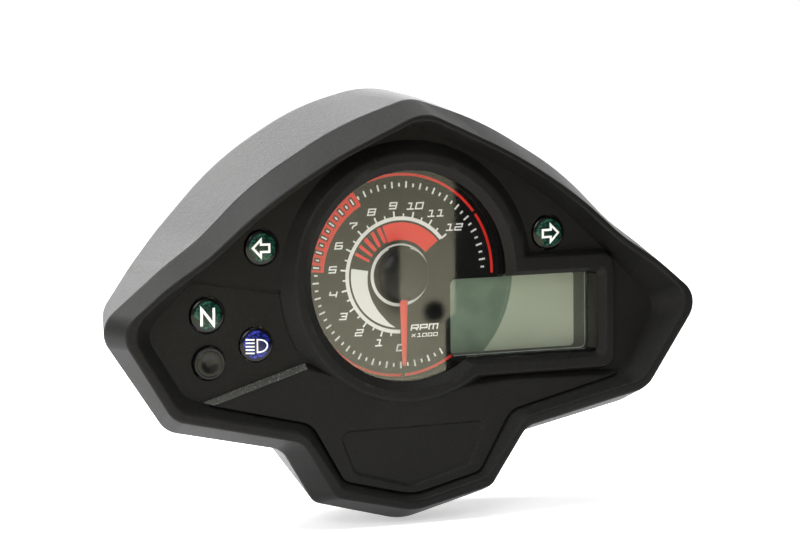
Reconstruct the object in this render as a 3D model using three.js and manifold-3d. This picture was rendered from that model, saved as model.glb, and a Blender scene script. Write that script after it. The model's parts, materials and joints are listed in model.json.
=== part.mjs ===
// Motorcycle instrument cluster: a dial tachometer and a liquid crystal window in one moulded case.
// Millimetres. X runs to the rider's right, Y forwards (away from the rider), Z up.
// Inside the model the dial face lies in the plane Y = 0 and its centre on the Y axis; the finished
// group is moved so that the origin is the centre of the plane that the bracket bolts against.
// "Ahead" is a distance from the dial face towards the rider, so ahead = -Y.
import * as THREE from "three";
import { mergeVertices } from "three/addons/utils/BufferGeometryUtils.js";
import Module from "manifold-3d";

const wasm = await Module();
wasm.setup();

// Overall form
const halfWidth = 113.4; // to the sharp corner of a wing tip, before it is rounded
const topHeight = 62.4; // dial centre to the top of the parting line
const dropHeight = 87.3; // dial centre to the bottom of the lower lobe
const wall = 2.4; // general wall of both mouldings
const joint = 0.3; // clearance between two pieces that touch
const overrun = 4; // how far a cutter runs past what it cuts

// Planes that lean back with the rider's view: ahead = base + lean * z
const leanShare = 0.083;
const partingAhead = 5.3;
const rimLeanShare = 0.079;
const rimAhead = 18.2;
const rimUndercut = 3; // thickness of the flat rim
const rimLand = 2; // from the rim's outer edge to the root of the channel behind it
const edgeLand = 4.4; // width of the bezel's rear edge, which presses on the gasket

// Fascia floor and its levels
const floorAhead = 6.8;
const lowerFloorRise = 3; // the lower field stands this far above the lamp field
const lowerFloorSlope = 1.8; // width of the sloped facet between the two
const neutralFieldDrop = 0.4; // the field round the neutral lamp lies this much lower
const padDepth = 1.2; // recessed pad in the lower lobe
const padDraft = 0.8;

// Window: one keyhole shape of a disc and a rounded oblong
const dialRadius = 36.5; // what shows inside the funnel and the mask
const lensLap = 3; // how far the disc reaches past the dial that shows
const lensRadius = dialRadius + lensLap;
const lensInset = 38; // from the sharp wing tip to the window's right end
const lensRight = halfWidth - lensInset;
const lensTop = -0.2;
const lensBottom = -32.3;
const lensCorner = 3;
const lensFlange = 1.4;
const lensBackAhead = 6.3;
const lensFlangeThick = 0.8;
const dialLensFrontAhead = 7.8;
const displayLensFrontAhead = 7.3;
const collarTopAhead = 10.8;
const funnelWidth = 3.5;
const funnelRadius = dialRadius + funnelWidth; // of the collar's sloped inner side at its crest
const collarLand = 3.3;
const collarTopRadius = funnelRadius + collarLand;
const collarFoot = 4.4;
const collarBaseRadius = collarTopRadius + collarFoot;
const collarMargin = 2.8;
const collarRight = lensRight + collarMargin;
const collarTop = 4.6;
const collarBottom = -36;
const collarCorner = 4.4;
const collarDraft = 1.5;
const sightInset = 2.6;
const sightRight = lensRight - sightInset; // what shows of the window below the funnel
const sightTop = -1.9;
const sightBottom = -30.7;
const sightCorner = 2;
const sightLand = 0.3; // straight edge between the window and the funnel

// Dial stack
const maskSlope = 2.4; // how much wider the mask is at its front
const maskLipAhead = 1.5;
const plateRim = 3.1;
const dialPlateRadius = dialRadius + plateRim;
const dialThick = 0.8;
const guideThick = 2.5;
const guideBore = 4;
const dialBore = 2.2;

// Liquid crystal display
const displayLeft = 18.4;
const displayInset = 2.8;
const displayRight = lensRight - displayInset;
const displayTop = -2.4;
const displayBottom = -30.8;
const displayCorner = 1.2;
const displaySlope = 1.8; // how much wider the mask is at its front
const plateLap = 0.6; // how far the dial plate covers the glass above and below
const plateWindowLap = 1.2; // and at its left end
const plateWindowCorner = 1.6;
const glassThick = 1.3;
const contactLedge = 1.9; // strip of the front glass that carries the contacts
const holderInset = 1.8;
const holderWall = 1.6;
const diffuserThick = 2.2;
const stripWidth = 1.2;

// Board and light box
const boardFront = 12.4; // on Y
const boardThick = 1.6;
const boardMargin = 1;
const boxPlate = 1.5;
const boxRingStep = 0.8;
const boxRingRadius = dialPlateRadius + boxRingStep;
const boxRingWall = 2.3;
const boxLedge = 2.4;
const tubeRadius = 7;
const tubeWall = 1.2;
const ledWidth = 3.5;
const ledDepth = 2.8;
const ledHeight = 1.8;
const ledRim = 0.3;
const ledBowl = 0.6; // depth and slope of the bowl in its face
const connectorWidth = 22;
const connectorHeight = 9;
const connectorDepth = 10;
const connectorWall = 1.2;
const connectorFloor = 2.4;

// Tell-tale lamps and the button
const lampRadius = 6;
const lampDome = 1;
const lampDomeShares = [1, 0.7, 0]; // radii of the dome's rings
const lampPlaces = {
  left_turn: [-54.2, 12.6],
  right_turn: [54.2, 12.6],
  neutral: [-74.3, -9.6],
  high_beam: [-56.7, -20.7],
};
const buttonPlace = [-74, -26.1];
const buttonRadius = 5.6;
const buttonProud = 1.3;
const buttonTravel = 1.2;
const buttonDish = 0.5;
const buttonDishRadius = 2.6;
const buttonFlange = 1.2;
const buttonFlangeThick = 1.2;
const stemRadius = 2.2;
const guideTubeWall = 1.6;
const sealWidth = 1.6;
const sealLength = 3.4;
const switchWidth = 6;
const switchDepth = 3.3;
const plungerRadius = 1.7;
const plungerLength = 2.4;
const plungerFront = 7.2; // on Y

// Needle
const needleReach = 32;
const needleRootWidth = 3.2;
const needleTipWidth = 1.4;
const needleThick = 0.8;
const needleAhead = 2.5; // underside of the arm
const hubRadius = 8.9;
const hubAhead = 1.4;
const hubThick = 2.1;
const hubBossRadius = 2.4;
const hubBossLength = 0.7;
const capRadius = 9.3;
const capRise = 2.1;
const capDomeShares = [1, 0.93, 0.75, 0.45, 0];
const capFlatness = 4; // power of the dome's curve

// Stepper motor and its gear train
const motorWidth = 30;
const motorHeight = 32;
const motorRise = 11; // from the shaft to the top of the case
const motorDepth = 9.5;
const motorCorner = 4;
const motorWall = 1.2;
const gearModule = 0.5;
const outputTeeth = 36;
const idlerTeeth = 24;
const pinionTeeth = 10;
const pressureAngle = (25 * Math.PI) / 180;
const addendumShare = 0.75;
const dedendumShare = 1.05;
const backlash = 0.05;
const wheelThick = 1;
const gearGap = 0.5; // axial room between two wheels
const idlerBearing = (38 * Math.PI) / 180; // direction of the idler from straight down
const outputShaft = 0.75;
const journal = 0.5;
const journalDepth = 0.4;
const bearingDepth = 0.8;
const magnetRadius = 3.4;
const statorThick = 0.6;
const poleWall = 1.3;
const coilWidth = 5.2;
const coilHeight = 12;
const coilOffset = 10.6;
const coilCore = 2;
const coilCorner = 0.5;

// Rear housing
const shoulderBack = 31.7; // on Y, at the height of the dial centre
const shoulderLeanShare = 0.03;
const housingBack = 37.7; // on Y
const backRound = 4;
const backEaseShare = 0.25; // of the round, taken half way from the shoulder to the back
const backWall = 2.6;
const ledgeDepth = 1.7;
const ledgeWidth = 2.2;
const ledgeTaper = 3;
const gasketWidth = 1.6;
const gasketDepth = 1.4;

// Screws
const postRadius = 4.2;
const postEnd = 17.7; // on Y
const towerWall = 1.2;
const towerFloor = 2;
const screwHeadRadius = 3.4;
const screwHeadHeight = 2.2;
const screwTaperShare = 0.33; // of its height that a head narrows
const screwShank = 1.5;
const screwLength = 12;
const crossWidth = 1;
const crossReach = 2;
const crossDepth = 1.2;
const upperScrewInset = 43.4; // from the sharp wing tip to the screw's axis
const upperScrewRise = 5;
const wingScrewInset = 27.8;
const wingScrewDrop = 20;
const topScrewGap = 1.1; // from the window's pocket to the post
const lobeScrewInset = 25.3; // from the bottom of the parting line
const casePlaces = {
  top: [0, lensRadius + lensFlange + joint + topScrewGap + postRadius],
  upper_left: [upperScrewInset - halfWidth, upperScrewRise],
  upper_right: [halfWidth - upperScrewInset, upperScrewRise],
  wing_left: [wingScrewInset - halfWidth, -wingScrewDrop],
  wing_right: [halfWidth - wingScrewInset, -wingScrewDrop],
  lobe: [0, lobeScrewInset - dropHeight],
};
const boardPostRadius = 3.4;
const boardScrewShank = 1.2;
const boardScrewHead = 2.6;
const boardScrewHeadHeight = 1.6;
const boardScrewLength = 10;
const boardScrewStep = 3.6; // outwards from the light box's ring
const boardPlaces = {
  top_left: [-boxRingRadius - boardScrewStep, 24],
  top_right: [boxRingRadius + boardScrewStep, 24],
  bottom_left: [-36, -39],
  bottom_right: [36, -39],
};

// Bracket mounts and the harness outlet
const mountPlaces = { left: [-38, 18], right: [38, 18], lower: [0, -44] };
const bossRadius = 8.5;
const bossHeight = 5;
const bossRoot = 9; // how far a boss runs forwards of the back face
const damperRadius = 9;
const damperThick = 4;
const insertRadius = 4.4;
const insertBore = 2.5;
const insertFlange = 8;
const insertFlangeThick = 1.2;
const ribWidth = 2;
const ribHeight = 2.6;
const harnessPlace = [24, -32];
const harnessBore = 5;
const harnessNeck = 9;
const harnessLip = 2.4;
const harnessLipThick = 2;

// Facets on round work
const roundSteps = 40;
const hubSteps = 20;
const lampSteps = 18;
const mountSteps = 16;
const smallSteps = 12;
const postSteps = 8;
const tinySteps = 6;
const oblongSteps = 4; // in each corner
const glassSteps = 2;
const coilSteps = 1;

// Corners of the front view, from the top down the rider's right side, as shares of
// [half width, height above or below the dial centre]
const shellShares = [
  [0, 1], [0.238, 0.856], [0.511, 0.559], [0.679, 0.263], [0.794, 0.114],
  [1, -0.143], [0.774, -0.569], [0.399, -0.675], [0.291, -0.901], [0, -1],
];
const rimOuterShares = [
  [0, 0.933], [0.317, 0.668], [0.529, 0.42], [0.685, 0.179], [0.816, 0.026],
  [0.966, -0.142], [0.791, -0.504], [0.373, -0.627], [0.2575, -0.8625], [0, -0.938],
];
const rimInnerShares = [
  [0, 0.9], [0.3, 0.654], [0.503, 0.417], [0.679, 0.143], [0.798, 0.011],
  [0.934, -0.139], [0.772, -0.472], [0.37, -0.59], [0.242, -0.827], [0, -0.907],
];
const floorShares = [
  [0, 0.856], [0.285, 0.63], [0.488, 0.4], [0.695, 0.052], [0.776, -0.069],
  [0.856, -0.168], [0.729, -0.433], [0.329, -0.559], [0.2235, -0.798], [0, -0.87],
];
const shoulderShares = [
  [0, 1.008], [0.238, 0.888], [0.494, 0.609], [0.688, 0.24], [0.776, 0.06],
  [0.89, -0.143], [0.74, -0.504], [0.388, -0.614], [0.262, -0.8], [0, -0.874],
];
// Corner radii and the facets in each, in the same order
const cornerRadii = [9, 48, 60, 12, 40, 9, 10, 8, 5, 20];
const cornerSteps = [2, 3, 3, 1, 1, 4, 2, 2, 2, 1];

// Corners of the board, from the top down the right side
const boardCorners = [[50, 27], [68, 19], [80.6, -1], [80.6, -32], [76, -35.4], [44, -35.4], [41, -43.6]];
// The lower field's upper border, from the left wing to the right
const lowerFieldBorder = [[-84, -41.8], [-39, -28.2], [0, -40], [39, -36.5], [84, -37.8]];
const neutralFieldBorder = [[-100, 6.2], [-44, -3.8], [-39, -28.2], [-84, -41.8], [-104, -20]];
const padCorners = [[26.6, -53.3], [21.6, -67.4], [0, -73.4]];
const padCornerRadius = 3;
const padSteps = [2, 3, 1, 3, 2];

const TAU = Math.PI * 2;
const cornerRoomShare = 0.48; // most of a side that one rounded corner may take
const neighbour = (list, i) => list[(i + list.length) % list.length];

// Rounds the corners of a closed outline. Each corner becomes an arc of steps + 1 points, and an
// arc is held to the part of its two sides that the next corners leave free.
function roundOutline(corners, radii, steps) {
  const points = [];
  corners.forEach((corner, i) => {
    const before = neighbour(corners, i - 1).clone().sub(corner);
    const after = neighbour(corners, i + 1).clone().sub(corner);
    const room = Math.min(before.length(), after.length()) * cornerRoomShare;
    before.normalize();
    after.normalize();
    const half = Math.acos(THREE.MathUtils.clamp(before.dot(after), -1, 1)) / 2;
    const reach = Math.min(radii[i] / Math.tan(half), room);
    const radius = reach * Math.tan(half);
    const centre = before.clone().add(after).normalize().multiplyScalar(radius / Math.sin(half)).add(corner);
    const start = before.clone().multiplyScalar(reach).add(corner).sub(centre);
    const turn = -Math.sign(before.cross(after)) * (Math.PI - 2 * half);
    for (let k = 0; k <= steps[i]; k += 1) {
      points.push(start.clone().rotateAround(new THREE.Vector2(), (turn * k) / steps[i]).add(centre));
    }
  });
  return points;
}

// Moves each side of a closed outline outwards by grow, or inwards where grow is negative.
function offsetOutline(points, grow) {
  return points.map((point, i) => {
    const before = point.clone().sub(neighbour(points, i - 1)).normalize();
    const after = neighbour(points, i + 1).clone().sub(point).normalize();
    const normal = new THREE.Vector2(-before.y - after.y, before.x + after.x).normalize();
    const spread = normal.x * -before.y + normal.y * before.x;
    return normal.multiplyScalar(grow / spread).add(point);
  });
}

// A case outline from its table of shares, drawn clockwise as the rider sees it.
function caseOutline(shares, grow = 0) {
  const right = shares.map(([x, z]) => new THREE.Vector2(x * halfWidth, z * (z > 0 ? topHeight : dropHeight)));
  const left = right.slice(1, -1).reverse().map((p) => new THREE.Vector2(-p.x, p.y));
  const mirrored = (table) => [...table, ...table.slice(1, -1).reverse()];
  const sharp = offsetOutline([...right, ...left], grow);
  return roundOutline(sharp, mirrored(cornerRadii), mirrored(cornerSteps));
}

function circle(radius, steps = roundSteps, x = 0, z = 0) {
  return Array.from({ length: steps }, (_, i) => {
    const angle = (-TAU * i) / steps;
    return new THREE.Vector2(x + radius * Math.cos(angle), z + radius * Math.sin(angle));
  });
}

function oblong(left, right, bottom, top, radius, steps = oblongSteps) {
  const corners = [[left, top], [right, top], [right, bottom], [left, bottom]];
  const each = (value) => corners.map(() => value);
  return roundOutline(polygon(corners), each(radius), each(steps));
}

const polygon = (pairs) => pairs.map(([x, z]) => new THREE.Vector2(x, z));
const mirroredPairs = (pairs) => [...pairs, ...pairs.map(([x, z]) => [-x, z]).reverse()];

// One ring of a loft: an outline stood up in space at y, which may lean with the height z.
const ringAt = (outline, y, lean = 0) => outline.map((p) => new THREE.Vector3(p.x, y - lean * p.y, p.y));

// Triangles that close a ring, turned the way the ring runs.
function capFaces(ring) {
  const flat = ring.map((v) => new THREE.Vector2(v.x, v.z));
  const faces = THREE.ShapeUtils.triangulateShape(flat, []);
  return THREE.ShapeUtils.isClockWise(flat) ? faces.map(([a, b, c]) => [a, c, b]) : faces;
}

// Skins a closed body through rings of equal length and closes both ends.
function loft(rings) {
  const count = rings[0].length;
  const positions = rings.flat().flatMap((v) => [v.x, v.y, v.z]);
  const index = [];
  for (let r = 0; r < rings.length - 1; r += 1) {
    for (let i = 0; i < count; i += 1) {
      const a = r * count + i;
      const b = r * count + ((i + 1) % count);
      index.push(a, b, a + count, b, b + count, a + count);
    }
  }
  const last = (rings.length - 1) * count;
  capFaces(rings[0]).forEach(([a, b, c]) => index.push(a, c, b));
  capFaces(rings.at(-1)).forEach(([a, b, c]) => index.push(last + a, last + b, last + c));
  const geometry = new THREE.BufferGeometry();
  geometry.setAttribute("position", new THREE.Float32BufferAttribute(positions, 3));
  geometry.setIndex(index);
  return solidOf(geometry);
}

// A three.js geometry as a solid, turned right side out if its faces point inwards.
function solidOf(geometry) {
  const bare = geometry.clone();
  bare.deleteAttribute("normal");
  bare.deleteAttribute("uv");
  const merged = mergeVertices(bare);
  const vertProperties = merged.attributes.position.array;
  const triVerts = new Uint32Array(merged.index.array);
  const corner = (i) => new THREE.Vector3().fromArray(vertProperties, triVerts[i] * 3);
  let volume = 0;
  for (let i = 0; i < triVerts.length; i += 3) volume += corner(i).cross(corner(i + 1)).dot(corner(i + 2));
  if (volume < 0) triVerts.reverse();
  return new wasm.Manifold(new wasm.Mesh({ numProp: 3, vertProperties, triVerts }));
}

function geometryOf(solid) {
  const { vertProperties, triVerts } = solid.getMesh();
  const geometry = new THREE.BufferGeometry();
  geometry.setAttribute("position", new THREE.BufferAttribute(vertProperties, 3));
  geometry.setIndex(new THREE.BufferAttribute(triVerts, 1));
  return geometry;
}

const prism = (outline, from, to) => loft([ringAt(outline, from), ringAt(outline, to)]);
const join = (solids) => solids.reduce((sum, next) => sum.add(next));
const cut = (solid, tools) => tools.reduce((rest, tool) => rest.subtract(tool), solid);

// A round bar or cone along Y.
function bar(radius, from, to, [x, z] = [0, 0], steps = smallSteps, endRadius = radius) {
  return loft([ringAt(circle(radius, steps, x, z), from), ringAt(circle(endRadius, steps, x, z), to)]);
}

function tube(radius, bore, from, to, place, steps) {
  return bar(radius, from, to, place, steps).subtract(bar(bore, from - overrun, to + overrun, place, steps));
}

function block(left, right, from, to, bottom, top) {
  const geometry = new THREE.BoxGeometry(right - left, to - from, top - bottom);
  geometry.translate((left + right) / 2, (from + to) / 2, (bottom + top) / 2);
  return solidOf(geometry);
}

// A solid of revolution about Y. The profile gives [radius, y] from the axis round to the axis.
function revolve(profile, [x, z] = [0, 0], steps = smallSteps) {
  const geometry = new THREE.LatheGeometry(profile.map(([r, y]) => new THREE.Vector2(r, y)), steps);
  geometry.translate(x, 0, z);
  return solidOf(geometry);
}

// Outline of a spur gear whose first tooth is centred on the given angle.
function gearOutline(teeth, firstTooth, flankShares = [0, 1]) {
  const pitch = (gearModule * teeth) / 2;
  const base = pitch * Math.cos(pressureAngle);
  const tip = pitch + addendumShare * gearModule;
  const root = pitch - dedendumShare * gearModule;
  const involute = (radius) => {
    const angle = Math.acos(Math.min(1, base / radius));
    return Math.tan(angle) - angle;
  };
  const halfTooth = Math.PI / (2 * teeth) - backlash / (2 * pitch) + involute(pitch);
  const start = Math.max(base, root);
  const radii = flankShares.map((share) => start + (tip - start) * share);
  const flank = root < base ? [root, ...radii] : radii;
  const points = [];
  for (let tooth = 0; tooth < teeth; tooth += 1) {
    const centre = firstTooth - (TAU * tooth) / teeth;
    const side = (radius, sign) => {
      const angle = centre + sign * (halfTooth - involute(Math.max(radius, base)));
      return new THREE.Vector2(radius * Math.cos(angle), radius * Math.sin(angle));
    };
    points.push(...flank.map((radius) => side(radius, 1)), ...flank.toReversed().map((radius) => side(radius, -1)));
  }
  return points;
}

const shifted = (outline, [x, z]) => outline.map((p) => new THREE.Vector2(p.x + x, p.y + z));

// The keyhole of the window at a given growth.
function keyhole(grow, from, to, endGrow = grow) {
  const rect = (g) => oblong(0, lensRight + g, lensBottom - g, lensTop + g, lensCorner + Math.max(g, 0));
  const disc = bar(lensRadius + grow, from, to, [0, 0], roundSteps, lensRadius + endGrow);
  return disc.add(loft([ringAt(rect(grow), from), ringAt(rect(endGrow), to)]));
}

// Front moulding
const floorBack = wall - floorAhead;
const lampHoleRadius = lampRadius + joint;
const buttonHoleRadius = buttonRadius + joint;
const pilotRadius = screwShank + joint;
const boardPilot = boardScrewShank + joint;
const boxPlateFront = boardFront - joint - boxPlate;
const windowLipAhead = lensBackAhead + lensFlangeThick + joint;
const lowerFloorAhead = floorAhead + lowerFloorRise;
const sightFront = -dialLensFrontAhead - joint - sightLand;

// The sloped opening of both collars, from their crest down to what shows of the window
function funnel() {
  const stages = (crest, sight) => loft([
    ringAt(crest, -collarTopAhead - overrun),
    ringAt(crest, -collarTopAhead),
    ringAt(sight, sightFront),
    ringAt(sight, sightFront + overrun),
  ]);
  const round = stages(circle(funnelRadius), circle(dialRadius));
  const square = stages(oblong(0, lensRight, lensBottom, lensTop, lensCorner),
    oblong(0, sightRight, sightBottom, sightTop, sightCorner));
  return round.add(square);
}

function frontBezel() {
  const body = loft([
    ringAt(caseOutline(floorShares, wall), floorBack),
    ringAt(caseOutline(rimOuterShares, -rimLand), rimUndercut - rimAhead, rimLeanShare),
    ringAt(caseOutline(shellShares, -edgeLand), -partingAhead, leanShare),
    ringAt(caseOutline(shellShares), -partingAhead, leanShare),
    ringAt(caseOutline(rimOuterShares), -rimAhead, rimLeanShare),
    ringAt(caseOutline(rimInnerShares), -rimAhead, rimLeanShare),
    ringAt(caseOutline(floorShares), -floorAhead),
  ]);
  const cavity = caseOutline(floorShares, joint);
  const lowerField = (drop) => polygon([
    ...lowerFieldBorder.map(([x, z]) => [x, z - drop]),
    [halfWidth, -dropHeight],
    [-halfWidth, -dropHeight],
  ]);
  const raised = loft([
    ringAt(lowerField(0), -floorAhead + joint),
    ringAt(lowerField(0), -floorAhead),
    ringAt(lowerField(lowerFloorSlope), -lowerFloorAhead),
  ]).intersect(prism(cavity, -lowerFloorAhead - overrun, -floorAhead + overrun));
  const collar = bar(collarBaseRadius, -floorAhead + joint, -collarTopAhead, [0, 0], roundSteps, collarTopRadius);
  const frame = loft([
    ringAt(oblong(0, collarRight + collarDraft, collarBottom - collarDraft, collarTop + collarDraft,
      collarCorner + collarDraft), -floorAhead + joint),
    ringAt(oblong(0, collarRight, collarBottom, collarTop, collarCorner), -collarTopAhead),
  ]);
  const posts = Object.values(casePlaces).map((place) =>
    bar(postRadius, floorBack - joint, postEnd, place, postSteps),
  );
  const boardPosts = Object.values(boardPlaces).map((place) =>
    bar(boardPostRadius, floorBack - joint, boxPlateFront - joint, place, postSteps),
  );
  const pad = (grow) => roundOutline(
    offsetOutline(polygon(mirroredPairs(padCorners.slice(0, 2)).toSpliced(2, 0, padCorners[2])), grow),
    padSteps.map(() => padCornerRadius), padSteps,
  );
  const cutters = [
    loft([
      ringAt(pad(0), padDepth - lowerFloorAhead),
      ringAt(pad(padDraft + joint), -joint - lowerFloorAhead),
    ]),
    prism(polygon(neutralFieldBorder), neutralFieldDrop - floorAhead, -floorAhead - joint)
      .intersect(prism(caseOutline(floorShares, -joint), -overrun - floorAhead, overrun - floorAhead))
      .subtract(raised)
      .subtract(collar),
    funnel(),
    keyhole(joint, sightFront + sightLand, joint - windowLipAhead),
    keyhole(lensFlange + joint, -windowLipAhead, joint),
    bar(buttonHoleRadius, -floorAhead - overrun, floorBack + overrun, buttonPlace, lampSteps),
    ...Object.values(lampPlaces).map((place) =>
      bar(lampHoleRadius, -floorAhead - overrun, floorBack + overrun, place, lampSteps),
    ),
    ...Object.values(casePlaces).map((place) =>
      bar(pilotRadius, postEnd - screwLength, postEnd + overrun, place, tinySteps),
    ),
    ...Object.values(boardPlaces).map((place) => bar(boardPilot, joint, boxPlateFront + overrun, place, tinySteps)),
  ];
  return cut(join([body, raised, collar, frame, ...posts, ...boardPosts]), cutters);
}

// Clear window with a step between its dial and display parts
function windowLens() {
  const flange = keyhole(lensFlange, -lensBackAhead, -lensBackAhead - lensFlangeThick);
  const display = keyhole(0, -lensBackAhead, -displayLensFrontAhead);
  const dial = bar(lensRadius, -lensBackAhead, -dialLensFrontAhead, [0, 0], roundSteps);
  return join([flange, display, dial]);
}

// Black mask between the window and the dial
const maskFront = joint - lensBackAhead;

function dialMask() {
  const blank = keyhole(lensFlange, maskFront, -joint);
  const cone = join([
    bar(dialRadius + maskSlope, maskFront - joint, -maskLipAhead, [0, 0], roundSteps, dialRadius),
    bar(dialRadius, -maskLipAhead - joint, overrun, [0, 0], roundSteps),
  ]);
  const opening = (grow) => oblong(0, displayRight + grow, displayBottom - grow, displayTop + grow,
    displayCorner + grow);
  const display = loft([
    ringAt(opening(displaySlope), maskFront - joint),
    ringAt(opening(0), -joint),
    ringAt(opening(0), overrun),
  ]);
  return cut(blank, [cone, display]);
}

// Dial plate, with a window over the display's left end, and the light guide, which ends at the display
function dialPlate() {
  const view = oblong(displayLeft + plateWindowLap, displayRight, displayBottom + plateLap, displayTop - plateLap,
    plateWindowCorner);
  return cut(bar(dialPlateRadius, 0, dialThick, [0, 0], roundSteps), [
    bar(dialBore, -overrun, dialThick + overrun, [0, 0], smallSteps),
    prism(view, -overrun, dialThick + overrun),
  ]);
}

const guideRadius = boxRingRadius - boxRingWall - joint;
const guideFront = dialThick + joint;
const guideBack = guideFront + guideThick;
const displayBay = (from, to) => block(displayLeft - joint, displayRight + joint, from - overrun, to + overrun,
  displayBottom - joint, displayTop + joint);

function lightGuide() {
  return cut(bar(guideRadius, guideFront, guideBack, [0, 0], roundSteps), [
    bar(guideBore, guideFront - overrun, guideBack + overrun),
    displayBay(guideFront, guideBack),
  ]);
}

// The board, and the plate of the light box on it, stay clear of the case wall
const boardOutline = polygon(mirroredPairs(boardCorners));

function boardSheet(inset, from, to) {
  const within = caseOutline(shellShares, -wall - ledgeWidth - boardMargin);
  return prism(offsetOutline(boardOutline, -inset), from, to).intersect(prism(within, from - overrun, to + overrun));
}

// White light box: a plate with a well for the dial and a tube for each lamp
const displayLeds = { display_led: [46, -16.2] };
const dialLeds = { dial_led_left: [-24, 8], dial_led_right: [8, 24] };
const tubeBore = tubeRadius - tubeWall;
const stemBore = stemRadius + joint;
const buttonTubeFront = buttonFlangeThick + buttonTravel + floorBack + 2 * joint;

function lightBox() {
  const back = boardFront - joint;
  const plate = boardSheet(joint, boxPlateFront, back);
  const ring = bar(boxRingRadius, guideFront, boxPlateFront + joint, [0, 0], roundSteps);
  const tubes = Object.values(lampPlaces).map((place) =>
    bar(tubeRadius, floorBack + joint, boxPlateFront + joint, place, smallSteps),
  );
  const buttonTube = bar(stemBore + guideTubeWall, buttonTubeFront, boxPlateFront + joint, buttonPlace);
  const ledHole = ledWidth + 2 * joint;
  const tools = [
    bar(boxRingRadius - boxRingWall, -overrun, guideBack + joint, [0, 0], roundSteps),
    bar(boxRingRadius - boxRingWall - boxLedge, -overrun, boxPlateFront, [0, 0], roundSteps),
    bar(hubBossRadius, boxPlateFront - overrun, back + overrun),
    displayBay(guideFront, back),
    ...Object.values(lampPlaces).map((place) =>
      bar(tubeBore, floorBack - overrun, back + overrun, place, smallSteps),
    ),
    bar(stemBore, -overrun, boxPlateFront + overrun, buttonPlace),
    block(buttonPlace[0] - switchWidth / 2 - joint, buttonPlace[0] + switchWidth / 2 + joint,
      boardFront - switchDepth - 2 * joint, back + overrun,
      buttonPlace[1] - switchWidth / 2 - joint, buttonPlace[1] + switchWidth / 2 + joint),
    ...Object.values(dialLeds).map(([x, z]) =>
      block(x - ledHole / 2, x + ledHole / 2, boxPlateFront - overrun, back + overrun, z - ledHole / 2, z + ledHole / 2),
    ),
    ...Object.values(casePlaces).map((place) => bar(postRadius + joint, -overrun, back + overrun, place, postSteps)),
    ...Object.values(boardPlaces).map((place) =>
      bar(boardPilot, boxPlateFront - overrun, back + overrun, place, tinySteps),
    ),
  ];
  return cut(join([plate, ring, ...tubes, buttonTube]), tools);
}

// Main board with its holes
function mainBoard() {
  const back = boardFront + boardThick;
  return cut(boardSheet(0, boardFront, back), [
    bar(hubBossRadius, boardFront - overrun, back + overrun),
    ...Object.values(casePlaces).map((place) =>
      bar(postRadius + joint, boardFront - overrun, back + overrun, place, postSteps),
    ),
    ...Object.values(boardPlaces).map((place) =>
      bar(boardPilot, boardFront - overrun, back + overrun, place, tinySteps),
    ),
  ]);
}

// A surface-mounted lamp on the front of the board, with a shallow bowl in its face
function ledChip([x, z]) {
  const back = boardFront - joint;
  const front = back - ledHeight;
  const body = block(x - ledWidth / 2, x + ledWidth / 2, front, back, z - ledDepth / 2, z + ledDepth / 2);
  const bowlRadius = ledDepth / 2 - ledRim;
  const bowl = bar(bowlRadius, front - joint, front + ledBowl, [x, z], tinySteps, bowlRadius - ledBowl);
  return body.subtract(bowl);
}

// Display glass, its diffuser and the holder that stands on the board
const displayFront = dialThick + joint; // the glass lies right behind the dial plate
const glassBack = displayFront + 2 * glassThick;
const holderTop = displayTop - holderInset - joint;
const holderBottom = displayBottom + holderInset + joint;
const holderLeft = displayLeft + holderInset;
const holderRight = displayRight - holderInset;
const holderFront = glassBack + joint;

function displayGlass() {
  const sheet = (inset) => oblong(displayLeft, displayRight, displayBottom + inset, displayTop - inset, displayCorner,
    glassSteps);
  return join([
    prism(sheet(0), displayFront, displayFront + glassThick),
    prism(sheet(contactLedge), displayFront + joint, glassBack),
  ]);
}

function displayHolder() {
  const shell = block(holderLeft, holderRight, holderFront, boardFront - joint, holderBottom, holderTop);
  const seat = block(holderLeft + holderWall / 2, holderRight - holderWall / 2, holderFront - overrun,
    holderFront + diffuserThick + joint, holderBottom + holderWall / 2, holderTop - holderWall / 2);
  const well = block(holderLeft + holderWall, holderRight - holderWall, holderFront - overrun,
    boardFront + overrun, holderBottom + holderWall, holderTop - holderWall);
  return cut(shell, [seat, well]);
}

function displayDiffuser() {
  const inset = holderWall / 2 + joint;
  return block(holderLeft + inset, holderRight - inset, holderFront, holderFront + diffuserThick,
    holderBottom + inset, holderTop - inset);
}

// Conductive rubber strip that joins a row of glass contacts to the board
function contactStrip(z) {
  return block(holderLeft, holderRight, displayFront + glassThick + joint, boardFront - joint,
    z - stripWidth / 2, z + stripWidth / 2);
}

// A tell-tale lens: a short plug with a domed face
function lampLens([x, z]) {
  const edge = -floorAhead;
  const dome = lampDomeShares.map((share) => [lampRadius * share, edge - lampDome * Math.sqrt(1 - share * share)]);
  return revolve([[0, floorBack - joint], [lampRadius, floorBack - joint], ...dome], [x, z], lampSteps);
}

// Button: a dished cap with a flange behind the fascia and a stem down to the switch
function buttonCap() {
  const front = -floorAhead - buttonProud;
  const flangeFront = floorBack + joint;
  const flangeBack = flangeFront + buttonFlangeThick;
  const bevel = joint;
  return revolve([
    [0, front + buttonDish],
    [buttonDishRadius, front + buttonDish],
    [buttonDishRadius + buttonDish, front],
    [buttonRadius - bevel, front],
    [buttonRadius, front + bevel],
    [buttonRadius, flangeFront],
    [buttonRadius + buttonFlange, flangeFront],
    [buttonRadius + buttonFlange, flangeBack],
    [stemRadius, flangeBack],
    [stemRadius, plungerFront - joint],
    [0, plungerFront - joint],
  ], buttonPlace, lampSteps);
}

function buttonSeal() {
  const bore = stemBore + guideTubeWall + joint;
  const front = buttonTubeFront + joint;
  return tube(bore + sealWidth, bore, front, front + sealLength, buttonPlace, smallSteps);
}

const switchFront = boardFront - joint - switchDepth;

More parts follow.
